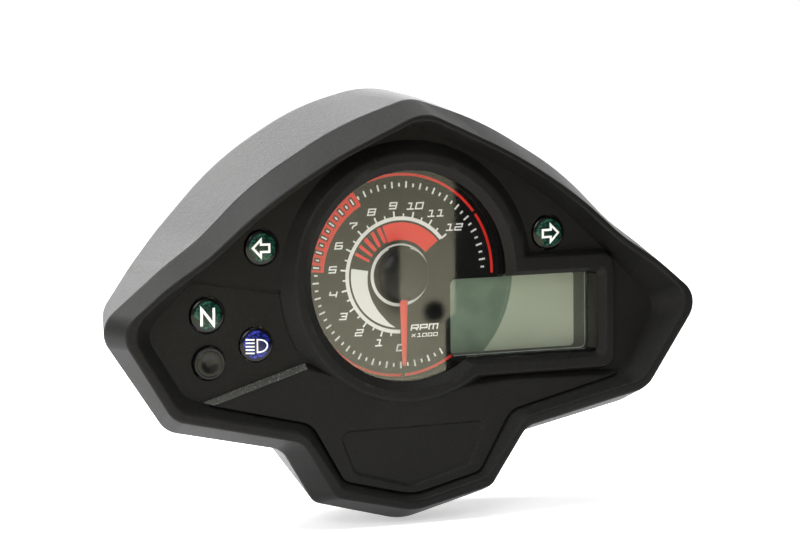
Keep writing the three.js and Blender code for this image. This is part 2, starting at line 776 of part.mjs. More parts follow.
function switchCase() {
  const [x, z] = buttonPlace;
  const half = switchWidth / 2;
  const bore = plungerRadius + joint;
  return block(x - half, x + half, switchFront, boardFront - joint, z - half, z + half).subtract(
    bar(bore, switchFront - overrun, plungerFront + plungerLength + buttonTravel + joint, buttonPlace),
  );
}

const switchPlunger = () => bar(plungerRadius, plungerFront, plungerFront + plungerLength, buttonPlace);

// Needle with its hub, pressed on the output shaft
const shaftFront = -hubAhead - hubThick / 2;

function needle() {
  const hub = bar(hubRadius, -hubAhead, -hubAhead - hubThick, [0, 0], hubSteps);
  const boss = bar(hubBossRadius, -hubAhead + hubBossLength, -hubAhead - joint);
  const arm = prism(
    polygon([
      [-needleRootWidth / 2, -hubRadius / 2],
      [needleRootWidth / 2, -hubRadius / 2],
      [needleTipWidth / 2, -needleReach],
      [-needleTipWidth / 2, -needleReach],
    ]),
    -needleAhead,
    -needleAhead - needleThick,
  );
  const bore = bar(outputShaft + joint, -hubAhead + overrun, shaftFront - joint, [0, 0], tinySteps);
  return join([hub, boss, arm]).subtract(bore);
}

function hubCap() {
  const back = -hubAhead - hubThick - joint;
  const dome = capDomeShares.map((share) => [capRadius * share, back - capRise * (1 - share ** capFlatness)]);
  return revolve([[0, back], ...dome], [0, 0], hubSteps);
}

// Stepper motor: levels along Y, from the board back
const motorFront = boardFront + boardThick + joint;
const motorBack = motorFront + motorDepth;
const coverFront = motorBack - motorWall;
const outputFront = motorFront + motorWall + gearGap;
const idlerFront = outputFront + wheelThick + gearGap;
const magnetFront = idlerFront + wheelThick + gearGap;
const pitchOf = (teeth) => (gearModule * teeth) / 2;
const outputToIdler = pitchOf(outputTeeth) + pitchOf(pinionTeeth);
const idlerToRotor = pitchOf(idlerTeeth) + pitchOf(pinionTeeth);
const idlerPlace = [outputToIdler * Math.sin(idlerBearing), -outputToIdler * Math.cos(idlerBearing)];
const rotorPlace = [0, idlerPlace[1] - Math.sqrt(idlerToRotor ** 2 - idlerPlace[0] ** 2)];
const towards = ([ax, az], [bx, bz]) => Math.atan2(bz - az, bx - ax);
const journalBore = journal + joint;
const motorOutline = (grow) => oblong(-motorWidth / 2 - grow, motorWidth / 2 + grow, motorRise - motorHeight - grow,
  motorRise + grow, motorCorner + grow);

function motorCase() {
  const blank = prism(motorOutline(0), motorFront, coverFront - joint);
  return cut(blank, [
    prism(motorOutline(-motorWall), motorFront + motorWall, coverFront + overrun),
    bar(outputShaft + joint, motorFront - overrun, motorFront + overrun, [0, 0], tinySteps),
    ...[idlerPlace, rotorPlace].map((place) =>
      bar(journalBore, motorFront + motorWall - bearingDepth, motorFront + overrun, place, tinySteps),
    ),
  ]);
}

function motorCover() {
  return cut(prism(motorOutline(0), coverFront, motorBack), [
    ...[idlerPlace, rotorPlace].map((place) =>
      bar(journalBore, coverFront - overrun, coverFront + bearingDepth, place, tinySteps),
    ),
    bar(outputShaft + joint, coverFront - overrun, coverFront + bearingDepth, [0, 0], tinySteps),
  ]);
}

const spindle = (place) => bar(journal, motorFront + motorWall - journalDepth, coverFront + journalDepth, place, tinySteps);

// The shaft turns in both halves of the motor and reaches forwards into the needle's hub.
function outputWheel() {
  const wheel = prism(gearOutline(outputTeeth, towards([0, 0], idlerPlace)), outputFront, outputFront + wheelThick);
  return wheel.add(bar(outputShaft, shaftFront, coverFront + journalDepth, [0, 0], tinySteps));
}

// A tooth gap of each pinion faces the tooth that it meets.
const gapAngle = (direction) => direction + Math.PI / pinionTeeth;

function idlerGear() {
  const pinion = gearOutline(pinionTeeth, gapAngle(towards(idlerPlace, [0, 0])));
  const wheel = gearOutline(idlerTeeth, towards(idlerPlace, rotorPlace));
  return join([
    prism(shifted(pinion, idlerPlace), outputFront - joint, idlerFront + joint),
    prism(shifted(wheel, idlerPlace), idlerFront, idlerFront + wheelThick),
    spindle(idlerPlace),
  ]);
}

function motorRotor() {
  const pinion = gearOutline(pinionTeeth, gapAngle(towards(rotorPlace, idlerPlace)));
  return join([
    prism(shifted(pinion, rotorPlace), idlerFront - joint, magnetFront + joint),
    bar(magnetRadius, magnetFront, coverFront - gearGap, rotorPlace, lampSteps),
    spindle(rotorPlace),
  ]);
}

const statorFront = (magnetFront + coverFront - gearGap - statorThick) / 2;
const coilTop = rotorPlace[1] + coilHeight / 2 + poleWall;

function motorStator() {
  const back = statorFront + statorThick;
  const bottom = rotorPlace[1] - magnetRadius - joint - poleWall;
  const arm = (x) => block(x - coilCore / 2, x + coilCore / 2, statorFront, back, bottom, coilTop + 2 * joint);
  const yoke = block(-coilOffset - coilCore / 2, coilOffset + coilCore / 2, statorFront, back, bottom, bottom + poleWall);
  const pole = bar(magnetRadius + joint + poleWall, statorFront, back, rotorPlace, lampSteps);
  const bore = bar(magnetRadius + joint, statorFront - overrun, back + overrun, rotorPlace, lampSteps);
  return join([arm(-coilOffset), arm(coilOffset), yoke, pole]).subtract(bore);
}

function motorCoil(x) {
  const half = coilWidth / 2;
  const bottom = coilTop - coilHeight + poleWall;
  const rim = oblong(x - half, x + half, bottom, coilTop, coilCorner, coilSteps);
  const core = block(x - coilCore / 2 - joint, x + coilCore / 2 + joint, statorFront - joint,
    statorFront + statorThick + joint, bottom - overrun, coilTop + overrun);
  return prism(rim, magnetFront + joint, coverFront - joint).subtract(core);
}

// Rear housing: a hood that tapers from the parting line to a rounded back
const bossBack = housingBack + bossHeight;
const towerRadius = screwHeadRadius + joint + towerWall;
const towerFront = postEnd + joint;
const towerBottom = towerFront + towerFloor;

function rearHousing() {
  const front = joint - partingAhead;
  const shell = loft([
    ringAt(caseOutline(shoulderShares, -backRound - wall / 2), housingBack - backWall),
    ringAt(caseOutline(shoulderShares, -wall), shoulderBack - wall / 2, shoulderLeanShare),
    ringAt(caseOutline(shellShares, -wall - joint), front + ledgeDepth + ledgeTaper, leanShare),
    ringAt(caseOutline(shellShares, -wall - ledgeWidth), front + ledgeDepth, leanShare),
    ringAt(caseOutline(shellShares, -wall), front + ledgeDepth, leanShare),
    ringAt(caseOutline(shellShares, -wall), front, leanShare),
    ringAt(caseOutline(shellShares), front, leanShare),
    ringAt(caseOutline(shoulderShares), shoulderBack, shoulderLeanShare),
    ringAt(caseOutline(shoulderShares, -backRound * backEaseShare), (shoulderBack + housingBack) / 2,
      shoulderLeanShare / 2),
    ringAt(caseOutline(shoulderShares, -backRound), housingBack),
  ]);
  const towers = Object.values(casePlaces).map((place) =>
    bar(towerRadius, towerFront, housingBack - backWall / 2, place, postSteps),
  );
  const bosses = Object.values(mountPlaces).map((place) =>
    bar(bossRadius, housingBack - bossRoot, bossBack, place, mountSteps),
  );
  const ribs = Object.values(mountPlaces).map((place, i, all) => {
    const [ax, az] = place;
    const [bx, bz] = neighbour(all, i + 1);
    const length = Math.hypot(bx - ax, bz - az);
    const geometry = new THREE.BoxGeometry(length, ribHeight + backWall / 2, ribWidth);
    geometry.rotateY(-Math.atan2(bz - az, bx - ax));
    geometry.translate((ax + bx) / 2, housingBack + (ribHeight - backWall / 2) / 2, (az + bz) / 2);
    return solidOf(geometry);
  });
  const tools = [
    ...Object.values(casePlaces).flatMap((place) => [
      bar(screwHeadRadius + joint, towerBottom, housingBack + overrun, place, postSteps),
      bar(pilotRadius, towerFront - overrun, towerBottom + overrun, place, tinySteps),
    ]),
    ...Object.values(mountPlaces).map((place) =>
      bar(insertRadius + joint, housingBack - bossRoot + backWall, bossBack + overrun, place),
    ),
    bar(harnessNeck + joint, housingBack - backWall - overrun, housingBack + overrun, harnessPlace, mountSteps),
  ];
  return cut(join([shell, ...towers, ...bosses, ...ribs]), tools);
}

// Rubber seal in the joint between the two mouldings
function caseGasket() {
  const back = ledgeDepth - partingAhead;
  const rings = [
    [wall + joint + gasketWidth, back - gasketDepth],
    [wall + joint + gasketWidth, back],
    [wall + joint, back],
    [wall + joint, back - gasketDepth],
  ].map(([inset, y]) => ringAt(caseOutline(shellShares, -inset), y, leanShare));
  return loft(rings).subtract(
    loft([
      ringAt(caseOutline(shellShares, -wall - joint - gasketWidth), back - gasketDepth - overrun, leanShare),
      ringAt(caseOutline(shellShares, -wall - joint - gasketWidth), back + overrun, leanShare),
    ]),
  );
}

// A pan-head screw driven forwards from behind, with a cross recess
function screw([x, z], seat, head, height, shank, length) {
  const back = seat + height;
  const body = revolve([
    [0, seat - length],
    [shank, seat - length + shank],
    [shank, seat],
    [head, seat],
    [head - height * screwTaperShare, back],
    [0, back],
  ], [x, z], postSteps);
  const arm = (w, h) => block(x - w, x + w, back - crossDepth, back + overrun, z - h, z + h);
  return cut(body, [arm(crossReach, crossWidth / 2), arm(crossWidth / 2, crossReach)]);
}

// Threaded insert with a broad flange, and the rubber damper that it holds against its boss
const damperFront = bossBack + joint;
const mountPlane = damperFront + damperThick + joint + insertFlangeThick;

function mountInsert(place) {
  const front = housingBack - bossRoot + backWall + joint;
  const body = join([
    bar(insertRadius, front, mountPlane - insertFlangeThick / 2, place),
    bar(insertFlange, mountPlane - insertFlangeThick, mountPlane, place, mountSteps),
  ]);
  return body.subtract(bar(insertBore, front + backWall, mountPlane + overrun, place));
}

function mountDamper(place) {
  return tube(damperRadius, insertRadius + joint, damperFront, damperFront + damperThick, place, mountSteps);
}

function harnessGrommet() {
  const inner = housingBack - backWall - joint;
  const outer = housingBack + joint;
  const body = join([
    bar(harnessNeck + harnessLip, inner - harnessLipThick, inner, harnessPlace, mountSteps),
    bar(harnessNeck, inner - joint, outer + joint, harnessPlace, mountSteps),
    bar(harnessNeck + harnessLip, outer, outer + harnessLipThick, harnessPlace, mountSteps, harnessNeck),
  ]);
  return body.subtract(bar(harnessBore, inner - overrun, outer + overrun, harnessPlace, mountSteps));
}

// Shrouded plug socket on the back of the board, behind the harness outlet
function boardConnector() {
  const [x, z] = harnessPlace;
  const front = boardFront + boardThick + joint;
  const box = (inset, from, to) => block(x - connectorWidth / 2 + inset, x + connectorWidth / 2 - inset, from, to,
    z - connectorHeight / 2 + inset, z + connectorHeight / 2 - inset);
  return box(0, front, front + connectorDepth).subtract(
    box(connectorWall, front + connectorFloor, front + connectorDepth + overrun),
  );
}

// Finishes
const finishes = {
  caseBlack: { color: 0x1b1b1c, roughness: 0.62, metalness: 0 },
  hoodBlack: { color: 0x242425, roughness: 0.7, metalness: 0 },
  maskBlack: { color: 0x101011, roughness: 0.5, metalness: 0 },
  clear: { color: 0xdfe6e6, roughness: 0.05, metalness: 0, transparent: true, opacity: 0.2 },
  dialPrint: { color: 0x141415, roughness: 0.6, metalness: 0 },
  white: { color: 0xe9e9e4, roughness: 0.5, metalness: 0 },
  board: { color: 0x1d5a38, roughness: 0.45, metalness: 0 },
  display: { color: 0x7f8f86, roughness: 0.12, metalness: 0 },
  green: { color: 0x0f4a37, roughness: 0.15, metalness: 0 },
  blue: { color: 0x1b2382, roughness: 0.15, metalness: 0 },
  smoke: { color: 0x222425, roughness: 0.15, metalness: 0 },
  needleRed: { color: 0xd8331f, roughness: 0.4, metalness: 0 },
  gloss: { color: 0x060607, roughness: 0.15, metalness: 0 },
  rubber: { color: 0x161616, roughness: 0.85, metalness: 0 },
  steel: { color: 0xb4b6b8, roughness: 0.35, metalness: 1 },
  copper: { color: 0xb06a3a, roughness: 0.4, metalness: 1 },
  acetal: { color: 0xf1efe6, roughness: 0.45, metalness: 0 },
};
const materials = Object.fromEntries(
  Object.entries(finishes).map(([name, values]) => [name, new THREE.MeshStandardMaterial(values)]),
);

const cluster = new THREE.Group();
cluster.name = "instrument_cluster";
cluster.position.y = -mountPlane;

function place(name, finish, solid, parent = cluster) {
  const mesh = new THREE.Mesh(geometryOf(solid), materials[finish]);
  mesh.name = name;
  parent.add(mesh);
}

// Case
place("front_bezel", "caseBlack", frontBezel());
place("rear_housing", "hoodBlack", rearHousing());
place("case_gasket", "rubber", caseGasket());
place("window_lens", "clear", windowLens());
place("harness_grommet", "rubber", harnessGrommet());

// Dial and display
place("dial_mask", "maskBlack", dialMask());
place("dial_plate", "dialPrint", dialPlate());
place("dial_light_guide", "clear", lightGuide());
place("light_box", "white", lightBox());
place("lcd_glass", "display", displayGlass());
place("lcd_diffuser", "white", displayDiffuser());
place("lcd_holder", "white", displayHolder());
place("lcd_contact_upper", "rubber", contactStrip(displayTop - contactLedge / 2));
place("lcd_contact_lower", "rubber", contactStrip(displayBottom + contactLedge / 2));

// Board and what is soldered to it
place("main_board", "board", mainBoard());
place("board_connector", "acetal", boardConnector());
const chips = { ...dialLeds, ...displayLeds };
Object.entries(chips).forEach(([name, at]) => place(name, "white", ledChip(at)));

// Tell-tale lamps
Object.entries(lampPlaces).forEach(([name, at]) => {
  place(`${name}_lens`, name === "high_beam" ? "blue" : "green", lampLens(at));
  place(`${name}_led`, "white", ledChip(at));
});

// Button and switch
const button = new THREE.Group();
cluster.add(button);
place("button_cap", "smoke", buttonCap(), button);
place("switch_plunger", "gloss", switchPlunger(), button);
place("button_seal", "rubber", buttonSeal());
place("switch_case", "gloss", switchCase());

// Needle and motor
const pointer = new THREE.Group();
cluster.add(pointer);
place("needle", "needleRed", needle(), pointer);
place("needle_hub_cap", "gloss", hubCap(), pointer);
place("motor_output_wheel", "acetal", outputWheel(), pointer);
place("motor_idler_gear", "acetal", idlerGear());
place("motor_rotor", "steel", motorRotor());
place("motor_stator", "steel", motorStator());
place("motor_coil_left", "copper", motorCoil(-coilOffset));
place("motor_coil_right", "copper", motorCoil(coilOffset));
place("motor_case", "gloss", motorCase());
place("motor_cover", "gloss", motorCover());

// Fasteners and bracket mounts
Object.entries(casePlaces).forEach(([name, at]) =>
  place(`case_screw_${name}`, "steel", screw(at, towerBottom + joint, screwHeadRadius, screwHeadHeight, screwShank,
    screwLength)),
);
Object.entries(boardPlaces).forEach(([name, at]) =>
  place(`board_screw_${name}`, "steel", screw(at, boardFront + boardThick + joint, boardScrewHead,
    boardScrewHeadHeight, boardScrewShank, boardScrewLength)),
);
Object.entries(mountPlaces).forEach(([name, at]) => {
  place(`mount_insert_${name}`, "steel", mountInsert(at));
  place(`mount_damper_${name}`, "rubber", mountDamper(at));
});

export default cluster;
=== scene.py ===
"""Looks of a motorcycle instrument cluster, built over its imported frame.

Sizes are in millimetres of the dial's own frame: X to the rider's right, Y forwards from the dial
face, Z up from the dial's centre. "Ahead" is a distance from the dial face towards the rider.
Each mesh is turned into the row's frame, in metres, as its last step.
"""

from __future__ import annotations

import json
import logging
import math
from dataclasses import dataclass, field, replace
from enum import Enum
from typing import Callable, Iterable, Sequence

import bmesh
import bpy
import numpy as np
from mathutils import Matrix, Vector

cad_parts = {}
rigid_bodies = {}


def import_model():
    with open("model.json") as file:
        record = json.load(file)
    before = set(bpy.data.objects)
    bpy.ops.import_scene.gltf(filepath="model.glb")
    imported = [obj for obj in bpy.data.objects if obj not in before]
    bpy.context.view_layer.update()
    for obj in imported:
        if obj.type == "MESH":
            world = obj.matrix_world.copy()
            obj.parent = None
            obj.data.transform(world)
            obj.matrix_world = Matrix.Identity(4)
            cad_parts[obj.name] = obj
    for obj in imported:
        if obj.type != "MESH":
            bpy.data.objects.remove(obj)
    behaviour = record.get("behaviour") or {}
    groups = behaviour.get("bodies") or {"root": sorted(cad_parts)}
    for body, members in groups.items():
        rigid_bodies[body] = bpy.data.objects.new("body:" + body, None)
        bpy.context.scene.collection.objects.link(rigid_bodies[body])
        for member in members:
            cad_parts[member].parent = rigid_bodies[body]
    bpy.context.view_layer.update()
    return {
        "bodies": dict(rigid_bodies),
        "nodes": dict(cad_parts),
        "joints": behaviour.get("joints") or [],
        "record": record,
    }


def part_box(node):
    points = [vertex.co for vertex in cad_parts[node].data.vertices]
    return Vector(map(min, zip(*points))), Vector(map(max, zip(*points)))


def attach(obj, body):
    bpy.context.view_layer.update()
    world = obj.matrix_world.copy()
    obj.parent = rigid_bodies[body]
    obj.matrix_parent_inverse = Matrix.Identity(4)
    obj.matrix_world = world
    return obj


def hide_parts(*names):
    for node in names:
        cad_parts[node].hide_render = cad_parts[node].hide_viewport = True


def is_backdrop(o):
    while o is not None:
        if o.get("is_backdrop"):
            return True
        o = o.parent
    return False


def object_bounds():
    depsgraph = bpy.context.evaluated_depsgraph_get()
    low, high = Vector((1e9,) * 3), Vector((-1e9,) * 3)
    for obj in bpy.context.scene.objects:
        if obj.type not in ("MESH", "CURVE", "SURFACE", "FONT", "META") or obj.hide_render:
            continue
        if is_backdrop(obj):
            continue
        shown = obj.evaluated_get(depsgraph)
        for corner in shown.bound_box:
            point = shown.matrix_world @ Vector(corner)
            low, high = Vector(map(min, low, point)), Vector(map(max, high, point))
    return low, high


LOG = logging.getLogger("cluster")
MM = 0.001
TAU = math.tau
Triple = tuple[float, float, float]
Colour = Triple
Pair = tuple[float, float]
Ring = np.ndarray


class Combine(Enum):
    """How one solid meets another."""

    CUT = "DIFFERENCE"
    JOIN = "UNION"
    COMMON = "INTERSECT"


class Body(Enum):
    """The bodies that the scene's own pieces ride on."""

    CASE = "case"
    POINTER = "pointer"
    BUTTON = "button"


class Sign(Enum):
    """Signs on the tell-tale lenses."""

    LEFT = "left_turn"
    RIGHT = "right_turn"
    NEUTRAL = "neutral"
    HIGH_BEAM = "high_beam"


# Places that more than one sub-assembly shares, as X and Z on the dial's plane.
LAMPS: tuple[Pair, ...] = ((-54.2, 12.6), (54.2, 12.6), (-74.3, -9.6), (-56.7, -20.7))
BUTTON: Pair = (-74.0, -26.1)
HARNESS: Pair = (24.0, -32.0)
MOUNTS: dict[str, Pair] = {"left": (-38, 18), "right": (38, 18), "lower": (0, -44)}
CASE_SCREWS: dict[str, Pair] = {"top": (0, 46.5), "upper_left": (-70, 5), "upper_right": (70, 5),
                                "wing_left": (-85.6, -20), "wing_right": (85.6, -20),
                                "lobe": (0, -62)}
BOARD_SCREWS: dict[str, Pair] = {"top_left": (-44, 24), "top_right": (44, 24),
                                 "bottom_left": (-36, -39), "bottom_right": (36, -39)}
PANE_RADIUS = 39.5


# ---------------------------------------------------------------- shader groups


def group_tree(name: str, inputs: dict[str, float | None],
               outputs: Sequence[str]) -> bpy.types.NodeTree:
    """Starts a shader node group with named sockets.

    Args:
        name: Name of the group.
        inputs: Default of each number input, or None for a vector input.
        outputs: Names of the number outputs.

    Returns:
        The tree, holding its two end nodes.
    """
    tree = bpy.data.node_groups.new(name, "ShaderNodeTree")
    for label, value in inputs.items():
        kind = "NodeSocketVector" if value is None else "NodeSocketFloat"
        socket = tree.interface.new_socket(name=label, in_out="INPUT", socket_type=kind)
        if value is not None:
            socket.default_value = value
    for label in outputs:
        tree.interface.new_socket(name=label, in_out="OUTPUT", socket_type="NodeSocketFloat")
    tree.nodes.new("NodeGroupInput").name = "in"
    tree.nodes.new("NodeGroupOutput").name = "out"
    return tree


@dataclass
class Wiring:
    """Short words for building a node tree."""

    tree: bpy.types.NodeTree

    def node(self, kind: str, **settings: object) -> bpy.types.Node:
        """Adds a node.

        Args:
            kind: Its type, without the word ShaderNode.
            settings: Attributes to set on it.

        Returns:
            The node.
        """
        made = self.tree.nodes.new("ShaderNode" + kind)
        for key, value in settings.items():
            setattr(made, key, value)
        return made

    def link(self, start: bpy.types.NodeSocket, end: bpy.types.NodeSocket) -> None:
        """Joins an output to an input."""
        self.tree.links.new(start, end)

    def feed(self, value: object, socket: bpy.types.NodeSocket) -> None:
        """Links a socket to another, or sets a plain value on it."""
        if isinstance(value, bpy.types.NodeSocket):
            self.link(value, socket)
        else:
            socket.default_value = value

    def maths(self, how: str, *values: object, clamp: bool = False) -> bpy.types.NodeSocket:
        """Adds a Math node.

        Args:
            how: The operation.
            values: Its inputs, sockets or numbers.
            clamp: Whether the result is held between 0 and 1.

        Returns:
            The result's socket.
        """
        made = self.node("Math", operation=how, use_clamp=clamp)
        for value, socket in zip(values, made.inputs):
            self.feed(value, socket)
        return made.outputs[0]

    def band(self, value: object, low: object, high: object) -> bpy.types.NodeSocket:
        """Maps a value from low…high to 0…1, softly and held at both ends."""
        made = self.node("MapRange", interpolation_type="SMOOTHSTEP")
        for given, label in ((value, "Value"), (low, "From Min"), (high, "From Max")):
            self.feed(given, made.inputs[label])
        return made.outputs[0]

    def split(self, vector: object) -> bpy.types.NodeOutputs:
        """Splits a vector and returns its three outputs."""
        made = self.node("SeparateXYZ")
        self.link(vector, made.inputs[0])
        return made.outputs

    def mapped(self, vector: object, **places: Triple) -> bpy.types.NodeSocket:
        """Moves, turns or scales a vector by the inputs of a Mapping node."""
        made = self.node("Mapping")
        self.link(vector, made.inputs["Vector"])
        for label, value in places.items():
            made.inputs[label].default_value = value
        return made.outputs[0]

    def from_axis(self, where: object,
                  centre: Pair) -> tuple[bpy.types.NodeSocket, bpy.types.NodeSocket]:
        """Measures from an axis along Y.

        Args:
            where: Object coordinates.
            centre: The axis, in millimetres.

        Returns:
            The flat vector from the axis, and its length.
        """
        flat = self.node("VectorMath", operation="MULTIPLY")
        flat.inputs[1].default_value = (1.0, 0.0, 1.0)
        self.link(self.mapped(where, Location=(-centre[0] * MM, 0.0, -centre[1] * MM)),
                  flat.inputs[0])
        length = self.node("VectorMath", operation="LENGTH")
        self.link(flat.outputs[0], length.inputs[0])
        return flat.outputs[0], length.outputs["Value"]

    def texture(self, kind: str, vector: object, scale: object,
                **settings: object) -> bpy.types.Node:
        """Adds a texture node with its vector and scale."""
        made = self.node("Tex" + kind, **settings)
        self.feed(vector, made.inputs["Vector"])
        self.feed(scale, made.inputs["Scale"])
        return made

    def noise(self, vector: object, scale: object, detail: float = 2.0,
              rough: float = 0.5) -> bpy.types.NodeSocket:
        """Adds a Noise Texture and returns its grey value."""
        made = self.texture("Noise", vector, scale)
        made.inputs["Detail"].default_value = detail
        made.inputs["Roughness"].default_value = rough
        return made.outputs[0]

    def blend(self, mask: object, first: object, second: object) -> bpy.types.NodeSocket:
        """Mixes two colours by a mask and returns the colour."""
        made = self.node("Mix", data_type="RGBA")
        self.feed(mask, made.inputs[0])
        for value, socket in ((first, made.inputs[6]), (second, made.inputs[7])):
            self.feed((*value, 1.0) if isinstance(value, tuple) and len(value) == 3 else value,
                      socket)
        return made.outputs[2]


class Effects:
    """The effects that more than one finish uses, each built once."""

    def __init__(self) -> None:
        """Builds the groups."""
        self.grain = self._grain()
        self.wear = self._wear()
        self.dust = self._dust()
        self.scratches = self._scratches()

    @staticmethod
    def _grain() -> bpy.types.NodeTree:
        """Etched grain of a mould: pebbles with a finer tooth, a slow drift of tone, and a mask on
        the tooth's peaks for painted glints.
        """
        tree = group_tree("moulded_grain", {"Vector": None, "Pebbles": 2200.0, "Drift": 30.0},
                          ("Height", "Tone", "Sparkle"))
        w = Wiring(tree)
        source, out = tree.nodes["in"].outputs, tree.nodes["out"].inputs
        cells = w.texture("Voronoi", source["Vector"], source["Pebbles"], feature="SMOOTH_F1")
        tooth = w.noise(source["Vector"], w.maths("MULTIPLY", source["Pebbles"], 1.7), 3.0, 0.6)
        w.link(w.maths("MULTIPLY_ADD", tooth, 0.6, cells.outputs["Distance"]), out["Height"])
        w.link(w.noise(source["Vector"], source["Drift"], 3.0), out["Tone"])
        w.link(w.band(tooth, 0.54, 0.7), out["Sparkle"])
        return tree

    @staticmethod
    def _wear() -> bpy.types.NodeTree:
        """Paler, smoother material on edges: wear where they are handled, and a painted highlight
        along them.
        """
        tree = group_tree("edge_wear_and_highlight", {"Vector": None, "Start": 0.56, "End": 0.68}, ["Mask"])
        w = Wiring(tree)
        source = tree.nodes["in"].outputs
        ridge = w.band(w.node("NewGeometry").outputs["Pointiness"], source["Start"], source["End"])
        patchy = w.band(w.noise(source["Vector"], 900.0, 5.0, 0.65), 0.3, 0.62)
        w.link(w.maths("MULTIPLY", ridge, patchy), tree.nodes["out"].inputs["Mask"])
        return tree

    @staticmethod
    def _dust() -> bpy.types.NodeTree:
        """A little dust on what faces up."""
        tree = group_tree("settled_dust", {"Vector": None, "Amount": 0.2}, ["Mask"])
        w = Wiring(tree)
        source = tree.nodes["in"].outputs
        up = w.band(w.split(w.node("NewGeometry").outputs["Normal"])[2], 0.1, 1.0)
        specks = w.band(w.noise(source["Vector"], 900.0, 5.0, 0.7), 0.45, 0.75)
        w.link(w.maths("MULTIPLY", w.maths("MULTIPLY", up, specks), source["Amount"]),
               tree.nodes["out"].inputs["Mask"])
        return tree

    @staticmethod
    def _scratches() -> bpy.types.NodeTree:
        """Fine hairlines in two directions."""
        tree = group_tree("hairlines", {"Vector": None, "Scale": 500.0}, ["Mask"])
        w = Wiring(tree)
        source = tree.nodes["in"].outputs
        lines = [w.noise(w.mapped(source["Vector"], Rotation=(0.4, turn, turn), Scale=squeeze),
                         source["Scale"], rough=0.4)
                 for turn, squeeze in ((0.5, (1.0, 0.06, 1.0)), (-0.9, (0.06, 1.0, 1.0)))]
        w.link(w.band(w.maths("MAXIMUM", *lines), 0.66, 0.74), tree.nodes["out"].inputs["Mask"])
        return tree


# ---------------------------------------------------------------- finishes


@dataclass(frozen=True)
class Finish:
    """A procedural finish: two tones of one colour, gloss, grain, painted glints, wear with a
    painted edge highlight, and dust.
    """

    name: str
    colour: Colour
    tone: Colour
    roughness: float
    spread: float = 0.08
    metallic: float = 0.0
    specular: float = 0.5
    pebbles: float = 2200.0
    drift: float = 30.0
    bump: float = 0.15
    depth: float = 0.00004
    wear: Colour | None = None
    wear_span: Pair = (0.56, 0.68)
    dust: float = 0.0
    hairlines: float = 0.0
    coat: float = 0.0
    transmission: float = 0.0
    index: float = 1.5
    sparkle: float = 0.0

    def build(self, effects: Effects) -> bpy.types.Material:
        """Makes the material.

        Args:
            effects: The shared groups.

        Returns:
            The material.
        """
        material = bpy.data.materials.new(self.name)
        material.use_nodes = True
        tree = material.node_tree
        w = Wiring(tree)
        shader = tree.nodes["Principled BSDF"]
        where = w.node("TexCoord").outputs["Object"]
        grain = self._group(w, effects.grain, where, Pebbles=self.pebbles, Drift=self.drift)
        colour = w.blend(w.band(grain.outputs["Tone"], 0.3, 0.7), self.colour, self.tone)
        colour = self.pattern(w, where, colour)
        rough = w.maths("MULTIPLY_ADD", grain.outputs["Tone"], 2 * self.spread,
                        self.roughness - self.spread)
        # Painted glints: pale specks on the grain's peaks stand for light catching the grain.
        if self.sparkle:
            colour = w.blend(w.maths("MULTIPLY", grain.outputs["Sparkle"], self.sparkle), colour,
                             tuple(min(1.0, 3.2 * c + 0.03) for c in self.tone))
        # Paler edges: wear, and a painted highlight along them.
        if self.wear:
            mask = self._group(w, effects.wear, where, Start=self.wear_span[0],
                               End=self.wear_span[1]).outputs[0]
            colour = w.blend(mask, colour, self.wear)
            rough = w.maths("MULTIPLY_ADD", mask, -0.08, rough)
        if self.hairlines:
            lines = self._group(w, effects.scratches, where).outputs[0]
            rough = w.maths("MULTIPLY_ADD", lines, self.hairlines, rough)
        if self.dust:
            mask = self._group(w, effects.dust, where, Amount=self.dust).outputs[0]
            colour = w.blend(mask, colour, (0.42, 0.41, 0.39))
            rough = w.maths("MULTIPLY_ADD", mask, 0.4, rough, clamp=True)
        w.link(colour, shader.inputs["Base Color"])
        w.link(rough, shader.inputs["Roughness"])
        bump = w.node("Bump")
        bump.inputs["Strength"].default_value = self.bump
        bump.inputs["Distance"].default_value = self.depth
        w.link(self.relief(w, where, grain.outputs["Height"]), bump.inputs["Height"])
        w.link(bump.outputs[0], shader.inputs["Normal"])
        for label, value in (("Metallic", self.metallic), ("Specular IOR Level", self.specular),
                             ("Transmission Weight", self.transmission), ("IOR", self.index),
                             ("Coat Weight", self.coat)):
            shader.inputs[label].default_value = value
        if self.coat:
            shader.inputs["Coat Roughness"].default_value = 0.08
        return material

    @staticmethod
    def _group(w: Wiring, tree: bpy.types.NodeTree, where: object,
               **values: float) -> bpy.types.Node:
        """Places a shared group with its own values."""
        made = w.node("Group")
        made.node_tree = tree
        w.link(where, made.inputs["Vector"])
        for label, value in values.items():
            made.inputs[label].default_value = value
        return made

    def pattern(self, w: Wiring, where: object, colour: object) -> object:
        """Colour pattern of the finish; a plain finish has none."""
        return colour

    def relief(self, w: Wiring, where: object, height: object) -> object:
        """Height that the bump reads; a plain finish has its grain alone."""
        return height


@dataclass(frozen=True)
class LampFinish(Finish):
    """Tell-tale lens: coloured facets behind a clear face, whose pale specks are painted glints,
    fainter in the middle, with a dark rim.
    """

    centre: Pair = (0.0, 0.0)
    bright: Colour = (0.1, 0.3, 0.2)
    rim: Colour = (0.01, 0.012, 0.012)

    def pattern(self, w: Wiring, where: object, colour: object) -> object:
        """Facets as painted glints, fainter in the middle, and a dark rim.

        Args:
            w: The material's wiring.
            where: Object coordinates.
            colour: The plain colour.

        Returns:
            The colour with facets and rim.
        """
        flat, away = w.from_axis(where, self.centre)
        chance = w.node("SeparateColor")
        w.link(w.texture("Voronoi", flat, 1500.0, feature="F1").outputs["Color"], chance.inputs[0])
        outer = w.maths("MULTIPLY_ADD", w.band(away, 1.5 * MM, 4.2 * MM), 0.75, 0.25)
        facets = w.blend(w.maths("MULTIPLY", w.band(chance.outputs[0], 0.4, 0.9), outer), colour,
                         self.bright)
        return w.blend(w.band(away, 4.6 * MM, 5.0 * MM), facets, self.rim)


